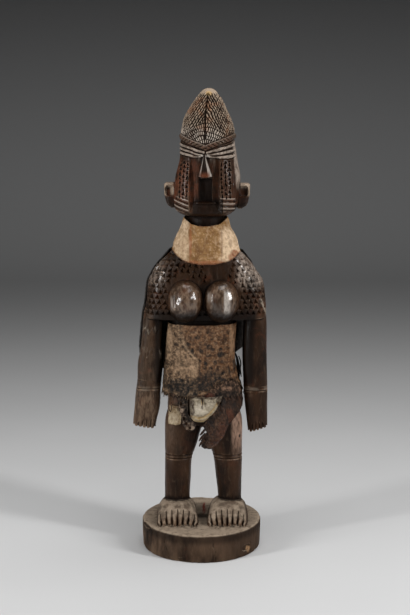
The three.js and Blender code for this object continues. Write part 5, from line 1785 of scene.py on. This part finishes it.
@dataclass
class Collar(Hide):
    """A stiff tapering neck piece of rawhide with flat facets, open at the top."""

    sections: tuple = (
        (431, 8.2, 49.8, 47.5, 44, 2.4), (462, 7.8, 43.9, 42.2, 41.4, 2.4), (473, 8.4, 39.9, 38.6, 38.6, 2.4),
        (485, 7.8, 33.4, 33.2, 34, 2.3), (504, 8, 28.6, 29, 30, 2.2),
    )
    low: tuple = (435.0, 455.0, 450.5, 460.0)
    high: tuple = (488.5, 499.0, 500.0)
    corners: tuple = (-2.92, -2.1, -0.95, -0.18, 0.75, 1.6, 2.45)

    def edge(self, angle: Array, levels: tuple) -> Array:
        """Returns the height of an edge from its front, left, right and back levels."""
        side = np.where(np.cos(angle) < 0, levels[1], levels[2]) if len(levels) == 4 else levels[1]
        middle = np.where(np.sin(angle) < 0, levels[0], levels[-1])
        return side + (middle - side) * np.abs(np.sin(angle)) ** 1.5

    def grid(self) -> tuple[Array, bool]:
        """Returns the facetted ring."""
        angle = even_angles(300)
        torn = 0.9 * ragged(angle * 36, 7, 101) + 1.1 * ragged(angle * 36, 2.2, 105)
        top = self.edge(angle, self.high) + torn * 1.1
        bottom = self.edge(angle, self.low) + 0.9 * ragged(angle * 46, 9, 102)
        share = np.linspace(0, 1, 62)[:, None]
        z = top + (bottom - top) * share
        ring = np.sort(np.array(self.corners))
        place = np.concatenate([ring, [ring[0] + 2 * math.pi]])
        turn = np.where(angle < ring[0], angle + 2 * math.pi, angle)
        step = np.clip(np.searchsorted(place, turn, side="right") - 1, 0, len(ring) - 1)
        t = (turn - place[step]) / (place[step + 1] - place[step])
        flat = -2.3 * np.sin(math.pi * t) * (place[step + 1] - place[step])
        points = Form(self.sections).local(z, np.broadcast_to(angle, z.shape), 3.4)
        bumps = 0.55 * noise(points, 17, 103, 3) + 0.25 * noise(points, 4, 104, 2)
        lip = 0.8 * bell(share - 1, 0.03) - 0.5 * bell(share, 0.03)
        grow = 3.2 + flat + bumps + lip
        seam = knife_line(points[..., 0], points[..., 2], ((-12.5, 496), (-14.5, 470), (-15.5, 440)), 4.5)
        tuck = np.where((points[..., 1] < 0), 1.5 * seam, 0)
        step_edge = smooth(0.55, 0.62, share) * smooth(0.2, 0.05, np.abs(angle + 0.3))
        return Form(self.sections).local(z, np.broadcast_to(angle, z.shape), grow + tuck + 0.9 * step_edge), True


@dataclass
class Wrap(Hide):
    """A skin tied round the waist: a folded, torn outer layer over an older one."""

    sections: tuple = (
        (231, 4.6, 58.8, 38.6, 43.5), (265, 0.8, 52.2, 35.4, 40), (293, -0.3, 49, 33, 34.5), (345, 3.3, 48, 32, 32.5),
    )
    top: float = 343.5
    under_top: float = 282.0
    under_hem: float = 236.0
    lowest: float = 231.2
    upper: bool = True
    fold: tuple = ((-30, 345), (-22, 314.5), (-3, 290.5), (-6, 257), (-8, 232))
    ties: tuple = (
        ((-50, 330), (-20, 322)), ((-45, 300), (-24, 292)), ((20, 330), (46, 322)), ((-48, 268), (-16, 262)),
        ((-38, 250), (-12, 247)),
    )
    torn: tuple = ((-180, 238), (-150, 240), (-128, 240), (-112, 239), (-98, 238.5), (-88, 240), (-80, 246),
                   (-72, 257), (-56, 260), (-42, 262), (-30, 258), (-12, 250), (0, 240), (90, 240), (180, 238))

    def grid(self) -> tuple[Array, bool]:
        """Returns one of the two layers, all round the waist."""
        angle = even_angles(330)
        degrees = np.degrees(angle)
        wave = ragged(angle * 50, 13, 111) * 2.0 + ragged(angle * 50, 3.0, 112, 3) * 2.0
        if self.upper:
            bottom = along(self.torn, degrees) + wave
            top = self.top + 1.1 * ragged(angle * 48, 9, 113)
        else:
            bottom = self.under_hem + 3.4 * ragged(angle * 50, 9, 114) + 1.6 * ragged(angle * 50, 2.8, 118)
            top = np.full(angle.shape, self.under_top)
        bottom = np.maximum(bottom, self.lowest)
        share = np.linspace(0, 1, 104 if self.upper else 46)[:, None]
        z = top + (bottom - top) * share
        turn = np.broadcast_to(angle, z.shape)
        body = Form(self.sections)
        points = body.local(z, turn, 2.0)
        x, height = points[..., 0], points[..., 2]
        front = smooth(6, -6, points[..., 1])
        grow = (2.3 if self.upper else 0.85) + 0.5 * noise(points, 21, 115, 3)
        if self.upper:
            line = line_at(self.fold, height)
            line = line + 2.2 * noise(points, 13, 120, 2)
            over = front * smooth(line + 2.0, line - 1.4, x)
            crease = front * bell(x - line + 2.5, 3.4) * (0.6 + 0.5 * noise(points, 15, 126))
            grow = grow + 1.0 * over + 1.0 * crease + 0.5 * over * noise(points, 6, 116, 2)
            swell = 1.1 * bell(share - 0.985, 0.05) * ragged(angle * 50, 8, 117)
            curl = 2.4 * smooth(0.9, 1.0, share) * np.clip(0.25 + ragged(angle * 50, 11, 119), 0, 1)
            raised, sunk = self.scales(points)
            grow = grow + swell + curl + 0.45 * raised - 0.35 * sunk
            grow = grow + 0.9 * front * fold_lines(x, height, self.ties, 3.0)
        return body.local(z, turn, grow), True

    def loose(self) -> list:
        """Returns a fringe of short threads at the lower edge, and the thong loop at the left."""
        random = np.random.default_rng(23 if self.upper else 29)
        body, paths = Form(self.sections), []
        for _ in range(70 if self.upper else 46):
            angle = random.uniform(-3.1, -0.05)
            level = along(self.torn, np.array([math.degrees(angle)]))[0] + 1 if self.upper else 238.0
            if self.upper and -1.2 < angle < -0.25 and random.random() < 0.4:
                continue
            fall, drift = random.uniform(2.0, 7.0), random.normal(0, 0.05)
            thick = random.uniform(0.22, 0.5)
            path = []
            for step in range(3):
                z = np.array([max(level - fall * step / 2, 231.5)])
                x, y, _ = body.local(z, np.array([angle + drift * step / 2]), 3.0 + 0.5 * step)[0]
                path.append((x, y, max(level - fall * step / 2, 222.0), thick * (1 - 0.3 * step)))
            paths.append(path)
        if not self.upper:
            paths.append([(-45, -33, 236, 0.7), (-46.2, -35.5, 228, 0.8), (-45.6, -36, 219, 0.8),
                          (-43.6, -36.3, 215, 0.8), (-42.2, -36, 220, 0.7), (-42.6, -34.5, 232, 0.6)])
            paths.append([(1.6, -43, 241, 0.9), (2.4, -46.2, 237, 1.1), (2.7, -47.0, 233, 0.7),
                          (3.0, -47.4, 230, 0.35)])
            paths.append([(4.4, -43, 241, 0.6), (3.8, -46.2, 233, 0.8), (3.2, -47.2, 227, 0.5)])
        return paths

    def scales(self, points: Array) -> tuple[Array, Array]:
        """Returns raised cells and the dark hollows between them on the skin right of the fold."""
        x, z = points[..., 0], points[..., 2]
        line = line_at(self.fold, z)
        front = smooth(4, -8, points[..., 1])
        region = front * smooth(line + 1, line + 5, x) * smooth(47, 40, x) * smooth(262, 270, z) * smooth(338, 331, z)
        skew = x + 0.12 * z + 3.0 * noise(points, 15, 121, 2)
        row = (z + 3.0 * noise(points, 14, 122, 2)) / 8.8
        number = np.round(row)
        dx = skew / 10.0 + 0.5 * number
        dx = (dx - np.round(dx)) * 10.0
        dz = (row - number) * 8.8
        cell = np.hypot(dx / 3.9, dz / 3.5)
        spot = smooth(1.0, 0.55, cell + 0.5 * noise(points, 5, 123, 3))
        strength = 0.5 + 0.9 * noise(points, 13, 124, 2)
        return region * (1 - spot), region * spot * np.clip(strength, 0.0, 1)

    def tones(self, points: Array) -> dict:
        """Returns the skin's tones, with the dark spots between its scales, a painted highlight along the fold's edge
        and painted shade beside it.
        """
        tones = super().tones(points)
        if not self.upper:
            return tones
        x, line = points[..., 0], line_at(self.fold, points[..., 2])
        front = smooth(6, -6, points[..., 1])
        # A painted highlight along the fold's edge and painted shade where the fold overhangs.
        edge, shade = front * bell(x - line + 1.2, 1.9), front * bell(x - line - 2.6, 1.8)
        patchy = smooth(-0.35, 0.25, noise(points, 10, 127, 2))
        tones = lay_on(tones, dark=0.95 * self.scales(points)[1], pale=0.8 * edge * patchy)
        return lay_on(tones, dark=0.6 * shade * patchy, red=0.55 * (front * smooth(line - 2, line + 6, x)))


@dataclass
class Cape(Hide):
    """A black hide hung over the back from the left shoulder to the right side."""

    sections: tuple = (
        (243, 5, 92.4, 40, 47.5, 3), (303, 4.4, 93, 40, 44, 3), (351, 7, 91.4, 38, 42, 3.2),
        (374, 8.4, 88.6, 38, 40.6, 3.2), (404, 8.1, 84.6, 37.5, 40, 3), (416, 7.2, 78.2, 36.5, 39.4, 2.8),
        (428, 7, 70.8, 35, 38.2), (440, 7.5, 60.6, 33, 36), (452, 8, 51, 30.5, 33.6), (463, 8, 45, 27, 31),
    )
    rim: tuple = ((0, 448), (0.2, 448), (0.5, 457), (0.8, 451), (1, 449.5))
    hem: tuple = ((0, 318), (0.07, 302), (0.22, 269), (0.5, 254), (0.79, 271), (0.86, 248), (0.93, 303), (1, 306))
    right: tuple = ((0, 0.14), (0.12, 0.3), (0.25, 0.62), (1, 0.72))
    left: float = math.pi - 0.04

    def grid(self) -> tuple[Array, bool]:
        """Returns the cape with soft hanging folds and an uneven hem."""
        u = np.linspace(0, 1, 190)
        top = along(self.rim, u) + 0.9 * ragged(u * 200, 8, 131)
        hem = along(self.hem, u) + 3.0 * ragged(u * 200, 12, 132)
        v = np.linspace(0, 1, 130)[:, None]
        z = top + (hem - top) * v
        start = along(self.right, v) + 0.02 * ragged(v * 200, 10, 133)
        angle = start + (self.left - 0.012 * ragged(v * 200, 9, 134) - start) * u
        body = Form(self.sections)
        points = body.local(z, angle, 1.6)
        lean = u * 200 + 10 * v
        hang = 1.4 * noise(np.stack([lean + 0 * v, 0 * lean, 26 * v + 0 * lean], axis=-1), 24, 135, 2)
        grow = 1.5 + (0.3 + hang) * smooth(0.05, 0.5, v) * smooth(0.0, 0.06, u) * smooth(1.0, 0.94, u)
        grow = np.maximum(grow + 0.35 * noise(points, 7, 136, 2), 0.9)
        return body.local(z, angle, grow), False

    def loose(self) -> list:
        """Returns the torn black shreds that hang in the gap beside the right hip."""
        return [
            [(52, 12, 292, 1.2), (55, 9, 282, 2.2), (57, 6, 268, 2.6), (56, 4, 254, 2.4), (58, 2, 243, 0.8)],
            [(50, 14, 280, 2.0), (53, 8, 266, 2.8), (55, 3, 250, 2.2), (54, 0, 238, 0.9)],
            [(57, 10, 288, 0.9), (60, 6, 279, 1.1), (59.5, 4, 270, 0.8), (61, 3, 262, 0.4)],
            [(54, 8, 272, 1.4), (59, 4, 266, 1.2), (61, 2, 258, 0.6)],
            [(54, 6, 258, 1.6), (59, 2, 252, 1.2), (61, 0, 246, 0.5)],
            [(-88, 30, 300, 1.6), (-90, 27, 288, 1.2), (-89, 26, 276, 0.5)],
        ]


@dataclass
class Flap(Hide):
    """A strip of hide that hangs from under the wrap, lying on the thigh and apron."""

    left: tuple = ()
    right: tuple = ()
    lift: float = 2.2
    curl: float = 3.0
    waves: float = 1.2
    seed: int = 140
    holes: tuple = ()
    shreds: tuple = ()
    tear: float = 1.1
    apron: tuple = (
        (141, 4.5, 58, 31, 32), (189, 4.5, 58, 31.4, 34), (218, 4.5, 56, 31.4, 40), (253, 2.5, 45.5, 30.6, 36),
    )

    def grid(self) -> tuple[Array, bool]:
        """Returns the strip between its torn sides, with waves and a curled end."""
        top, bottom = self.left[0][1], min(self.left[-1][1], self.right[-1][1])
        v = np.linspace(0, 1, max(30, int((top - bottom) / 0.8)))[:, None]
        z = top + (bottom + 0.4 - top) * v
        left = line_at(self.left, z)
        right = line_at(self.right, z)
        left = left + self.tear * ragged(z, 5, self.seed)
        right = np.maximum(right + self.tear * ragged(z, 5, self.seed + 1), left + 0.8)
        u = np.linspace(0, 1, 44)
        x = left + (right - left) * u
        sizes = Form(self.apron).blend(np.broadcast_to(z, x.shape))
        far = np.clip(np.abs(x - sizes[0]) / (sizes[1] + self.lift), 0, 0.985)
        y = -(sizes[2] + self.lift) * (1 - far**sizes[4]) ** (1 / sizes[4])
        z = np.broadcast_to(z, x.shape)
        place = np.stack([x, 0 * x, z], axis=-1)
        wave = self.waves * noise(place, 15, self.seed + 2, 3) + 0.4 * self.waves * noise(place, 4, self.seed + 3, 2)
        turned = self.curl * smooth(0.78, 1.0, v) ** 2 * (0.5 + 0.5 * ragged(u * 30, 9, self.seed + 4))
        sides = 0.35 * self.curl * (smooth(0.16, 0, u) + smooth(0.84, 1, u)) * smooth(0.1, 0.4, v)
        y = y - np.maximum(wave + self.waves, 0) * smooth(0, 0.25, v) - turned - sides
        return np.stack([x, y, z], axis=-1), False

    def loose(self) -> list:
        """Returns the torn points at the strip's edge."""
        return [list(path) for path in self.shreds]

    def finished(self, mesh: bpy.types.Mesh) -> bpy.types.Mesh:
        """Returns the strip with its holes cut through."""
        if not self.holes:
            return mesh
        places = np.array([[x, -60, z] for x, z, _, _ in self.holes], dtype=float)
        turns = np.tile([-BACK, 0.0, 0.0], (len(places), 1))
        sizes = np.array([[wide, high, 60.0] for _, _, wide, high in self.holes])
        cutters = Repeater("holes", punch_tool()).mesh(places, turns, sizes)
        return joined(mesh, cutters, Join.CUT)


def punch_tool() -> bpy.types.Object:
    """Returns an uneven round punch of unit size from z = 0 to z = 1."""
    count = 14
    turns = np.arange(count) * 2 * math.pi / count
    reach = 1 + 0.12 * np.sin(3 * turns + 0.6)
    ring = np.stack([reach * np.cos(turns), reach * np.sin(turns), np.zeros(count)], axis=-1)
    points = np.concatenate([ring, ring + [0, 0, 1]])
    faces = [list(range(count))[::-1], list(range(count, 2 * count))]
    faces += [[i, (i + 1) % count, (i + 1) % count + count, i + count] for i in range(count)]
    return hold(plain_mesh("punch", points, [], faces))


@dataclass
class Pouch(Hide):
    """A small bag of pale skin below the belly, hanging in a half moon with a rolled lower edge."""

    left: tuple = ((-16, 239), (-15.5, 219), (-14.5, 207), (-10, 201), (-3, 198.8), (4, 198.6))
    right: tuple = ((33, 239), (31, 232), (27, 224), (22, 216), (14, 206.5), (4, 198.6))
    rim: tuple = ((-13, 206.5), (-3, 204.3), (6, 205), (13, 209.5), (22, 218.5), (27, 227))
    top: float = 239.0
    bottom: float = 198.9
    front: float = -36.5
    depth: float = 8.6

    def grid(self) -> tuple[Array, bool]:
        """Returns the front of the bag with its puckers and rolled edge."""
        v = np.linspace(0, 1, 80)[:, None]
        z = self.top - (self.top - self.bottom) * v
        left = line_at(self.left, z) + 0.4 * ragged(z, 6, 153)
        right = line_at(self.right, z)
        right = np.maximum(right, left + 1.0)
        u = np.linspace(-1, 1, 84)[None, :]
        x = (left + right) / 2 + (right - left) / 2 * u
        z = np.broadcast_to(z, x.shape)
        middle = (z - 219) / 20.5
        deep = np.clip(1 - u**2, 0, 1) ** 0.5 * np.clip(1 - np.clip(-middle, 0, 1) ** 2.2, 0.0, 1) ** 0.5
        place = np.stack([x, 0 * x, z], axis=-1)
        pucker = noise(np.stack([x, 0 * x, 0.22 * z], axis=-1), 5.5, 151, 2)
        rim = line_distance(x, z, self.rim)
        roll = 2.2 * bell(rim, 2.0) - 1.2 * bell(rim - 3.6, 1.6) * (z > 206)
        y = self.front - self.depth * deep + 0.8 * pucker * smooth(212, 226, z) - 0.5 * noise(place, 9, 152, 2)
        return np.stack([x, y - roll * np.clip(1 - u**2, 0, 1), z], axis=-1), False

    def tones(self, points: Array) -> dict:
        """Returns the pouch's tones: a yellowed roll, and shade at both ends."""
        rim = line_distance(points[..., 0], points[..., 2], self.rim)
        return lay_on(super().tones(points), red=0.75 * smooth(2.6, 1.0, np.abs(rim - 2.6)))


def clothing() -> list:
    """Returns the hides in the order in which they lie on the figure."""
    tan = HideFinish("rawhide_tan", (0.19, 0.092, 0.027), (0.27, 0.145, 0.05), (0.72, 0.53, 0.35),
                     (0.085, 0.028, 0.010), (0.26, 0.085, 0.03), 0.6, 300, 0.9, 0.22)
    skin = HideFinish("mottled_skin", (0.07, 0.04, 0.021), (0.165, 0.098, 0.053), (0.44, 0.29, 0.175),
                      (0.008, 0.005, 0.003), (0.145, 0.052, 0.013), 0.5, 380, 1.2, 0.6)
    under = HideFinish("old_under_skin", (0.020, 0.011, 0.006), (0.045, 0.023, 0.013), (0.30, 0.175, 0.11),
                       (0.005, 0.003, 0.002), (0.12, 0.035, 0.02), 0.75, 380, 1.1, 0.3)
    black = HideFinish("black_hide", (0.013, 0.010, 0.009), (0.032, 0.025, 0.021), (0.10, 0.085, 0.072),
                       (0.005, 0.004, 0.004), (0.045, 0.02, 0.013), 0.5, 420, 0.9, 0.4)
    yellow = HideFinish("yellow_skin", (0.23, 0.165, 0.092), (0.32, 0.24, 0.145), (0.5, 0.41, 0.29),
                        (0.10, 0.055, 0.025), (0.30, 0.17, 0.06), 0.65, 420, 0.7, 0.2)
    grey = HideFinish("grey_leather", (0.028, 0.016, 0.010), (0.066, 0.037, 0.021), (0.32, 0.235, 0.17),
                      (0.005, 0.003, 0.002), (0.13, 0.04, 0.015), 0.55, 420, 1.1, 0.35)
    brown = HideFinish("brown_leather", (0.016, 0.007, 0.0036), (0.038, 0.016, 0.008), (0.11, 0.056, 0.030),
                       (0.005, 0.003, 0.002), (0.12, 0.034, 0.014), 0.5, 420, 0.8, 0.25)
    white = HideFinish("pale_skin", (0.25, 0.205, 0.14), (0.36, 0.305, 0.225), (0.55, 0.48, 0.38),
                       (0.030, 0.015, 0.008), (0.37, 0.24, 0.09), 0.6, 420, 0.8, 0.4)
    hung = "hung", ("figure",)
    return [
        Collar("rawhide_collar", "collar", tan, (0.29, 0.06), 0.0145, "stretched", ("figure",), 2.2, stains_and_painted_light={
            # The pale blots at x -27 and 45, on the left and right facets, are painted light of the side lights; the
            # dark lines along the lower and upper front edges and down one facet corner are painted shade.
            "pale": ((-27, 462, 12, 30, 0.6), (45, 458, 17, 34, 0.95), (-22, 488, 8, 8, 0.8)),
            "red": ((-14, 470, 2.2, 26, 0.7), (8, 437, 34, 4, 0.8), (49, 446, 9, 8, 0.9)),
            "dark": ((10, 434.5, 42, 3.0, 0.9), (31, 462, 1.8, 20, 0.35), (9, 489, 15, 1.3, 0.8)),
        }, wrinkle=0.5, crease=15),
        Wrap("under_wrap", "waist_wrap", under, (0.31, 0.05), 0.0145, "gathered", ("figure",), 0.8, stains_and_painted_light={
            "pale": ((34, 249.5, 4, 3.4, 0.7), (41, 248.5, 5, 4.0, 0.6)), "red": ((12, 240, 12, 4, 0.8),),
            # The dark blots are painted shadow below the pale scrap and the torn edge above it.
            "dark": ((38, 247, 4, 1.0, 0.9), (36, 241, 22, 4, 0.8)),
        }, wrinkle=0.9, crease=7, upper=False),
        Wrap("waist_skin", "waist_wrap", skin, (0.31, 0.115), 0.033, "gathered", ("under_wrap", "figure"), 1.2, stains_and_painted_light={
            # The pale blots at x -10, 46 and -46 are painted highlights; the others are the skin's own pale patches.
            "pale": ((-28, 290, 13, 20, 0.2), (-10, 276, 5, 12, 0.5), (46, 318, 4, 24, 0.8), (-46, 318, 6, 26, 0.5),
                     (-4, 244, 16, 2.5, 0.9)),
            # The small dark blots among the scales are the skin's own spots; the wide dark blots low on the front,
            # under and along the torn edge, are painted shade.
            "dark": ((30, 300, 5, 5, 0.9), (14, 312, 6, 4, 0.8), (36, 262, 20, 2.5, 0.9), (12, 299, 3.5, 3, 0.9),
                     (2, 305, 3, 3.5, 0.8), (22, 288, 3, 4, 0.9), (8, 286, 2.5, 3, 0.7), (24, 272, 24, 9, 0.5),
                     (-36, 262, 12, 4, 0.5), (50, 280, 3, 10, 0.8), (-25, 248, 30, 10, 0.55), (10, 258, 24, 14, 0.8),
                     (-8, 253, 46, 12, 0.7), (-52, 270, 2.5, 40, 0.6)),
        }, wrinkle=0.95, crease=7),
        Cape("back_cape", "cape", black, (0.24, 0.2), 0.036, *hung, 1.5, wrinkle=0.7, crease=12),
        Flap("thigh_skin", "thigh_flap", yellow, (0.026, 0.04), 0.0009, *hung, 1.3,
             # The dark blot at its top is painted shadow under the wrap's hem.
             stains_and_painted_light={"pale": ((-40, 201, 8, 8, 0.6),), "dark": ((-36, 222, 12, 4, 0.9),)},
             wrinkle=0.7, crease=8, dark_rows=1.4, lift=1.0, curl=1.5, seed=140, tear=0.5,
             left=((-46.5, 221), (-47.2, 205), (-47.8, 192.5), (-38, 192.0)),
             right=((-29, 221), (-27.5, 206), (-28.5, 195.5), (-38, 192.0))),
        Flap("hip_skin", "hip_flap", brown, (0.036, 0.06), 0.0016, *hung, 1.5,
             # The dark blots are painted shade, along its left edge beside the pouch and at its top under the wrap's
             # hem; the red blot is a stain.
             stains_and_painted_light={"red": ((42, 206.5, 7.5, 10, 0.42),), "dark": ((33, 226, 4.5, 16, 0.85), (47, 238, 18, 4, 0.9))},
             wrinkle=0.5, crease=13, dark_rows=1.4, lift=1.4, seed=150, tear=0.5,
             left=((31, 243), (31, 225), (33, 208), (37.8, 197), (42, 194)),
             right=((60, 243), (63.5, 229), (62, 217), (52.5, 205), (42, 194))),
        Flap("long_strip", "right_strip", brown, (0.044, 0.074), 0.0021, *hung, 1.4,
             # The dark blots along its left edge and at its top are painted shade; the small pale blot at x 8, z 197.5
             # is a painted highlight; the rest are its own colour.
             stains_and_painted_light={"dark": ((5, 186, 3.5, 12, 0.9), (10, 172, 4, 10, 0.5), (4, 165, 4, 6, 0.9), (12, 205, 9, 4, 0.8)),
                     "red": ((33, 186, 10, 14, 0.25), (22, 168, 8, 4, 0.25)),
                     "pale": ((8, 197.5, 1.8, 2.2, 1.0), (25, 197, 5, 6, 0.5), (16, 160.5, 9, 1.2, 0.5))},
             wrinkle=1.1, crease=8, dark_rows=1.6, lift=3.0, curl=3.5, seed=160,
             left=((2, 225), (7, 206), (8.5, 199), (4.5, 192), (9, 184), (0.5, 171), (3, 167), (1.5, 162), (8, 158.6)),
             right=((34, 227), (40.5, 205), (41.5, 193), (35, 177), (25, 164), (18, 159.5), (8, 158.6)),
             holes=((23.5, 175.5, 1.2, 1.4), (13.0, 190.0, 1.0, 1.6)),
             shreds=(
                 ((7, -37, 196, 1.6), (2, -38.5, 193, 1.5), (-1, -39, 191, 0.5)),
                 ((7, -37, 188, 1.8), (2.5, -39, 183, 1.8), (-0.6, -40, 180, 0.6)),
                 ((8, -37, 182, 2.0), (2, -39, 176, 2.0), (-2, -40, 171, 0.7)),
                 ((6, -37, 172, 1.8), (1, -38.5, 167, 1.8), (-1.5, -39, 162.5, 0.7)),
                 ((9, -37, 203, 1.2), (12, -39, 207, 1.4), (16, -40, 209, 0.6)))),
        Flap("pierced_strip", "left_strip", grey, (0.028, 0.064), 0.0012, *hung, 1.4,
             # The pale blot at x -27, z 215.5 is a painted highlight.
             stains_and_painted_light={"pale": ((-27, 215.5, 2.2, 3.2, 1.0), (-12, 190, 4, 3, 0.8), (-29, 205, 2, 6, 0.5)),
                     "dark": ((-27, 232, 10, 9, 0.95), (-19, 216, 3, 12, 0.7))},
             wrinkle=1.0, crease=7, dark_rows=1.6, lift=3.4, seed=170,
             left=((-36, 243), (-31.5, 220), (-28.2, 208), (-25.5, 196), (-21, 188), (-14, 185.2)),
             right=((-17, 243), (-17.8, 230), (-18.5, 212), (-13, 204), (-7, 195), (-8.5, 189), (-14, 185.2)),
             holes=((-28.4, 226.0, 2.0, 3.4), (-23.8, 203.5, 2.2, 3.2), (-20.6, 196.0, 1.9, 2.6),
                    (-14.9, 190.3, 1.8, 2.2))),
        Pouch("pale_pouch", "pubic_pouch", white, (0.06, 0.045), 0.0016, "gathered", ("figure",), 1.2, stains_and_painted_light={
            # The pale blot in the middle is a painted highlight; the dark blots at both ends and along the top, under
            # the wrap's hem, are painted shade.
            "pale": ((0, 222, 10, 9, 0.6),), "red": ((3, 232, 2.0, 6, 1.0),),
            "dark": ((-14, 224, 6.5, 20, 0.95), (29, 230, 6, 12, 0.95), (3, 224, 1.8, 3.4, 0.9),
                     (8, 239.5, 26, 4.2, 1.0)),
        }, wrinkle=0.4, crease=9),
    ]


def main() -> None:
    """Builds the figure, its clothing and the studio, and reports each piece."""
    logging.basicConfig(level=logging.INFO, format="%(name)s: %(message)s")
    Studio().build()
    figure = Figure().build(CarvedWood().material())
    figure.name = figure.data.name = "carved_figure"
    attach(figure, "root")
    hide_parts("figure")
    report(figure)
    hides = clothing()
    pieces = [hide.build() for hide in hides]
    for hide, piece in zip(hides, pieces):
        hide.declare(piece)
        report(piece)


def report(piece: bpy.types.Object) -> None:
    """Writes a piece's name and size to the log."""
    LOG.info("%s: %d triangles", piece.name, sum(len(face.vertices) - 2 for face in piece.data.polygons))


def write_sizes() -> None:
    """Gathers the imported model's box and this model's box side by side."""
    boxes = {"cad": CAD_BOX, "visual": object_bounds()}
    plain = {name: [[float(value) for value in corner] for corner in box] for name, box in boxes.items()}


if __name__ == "__main__":
    main()
    write_sizes()
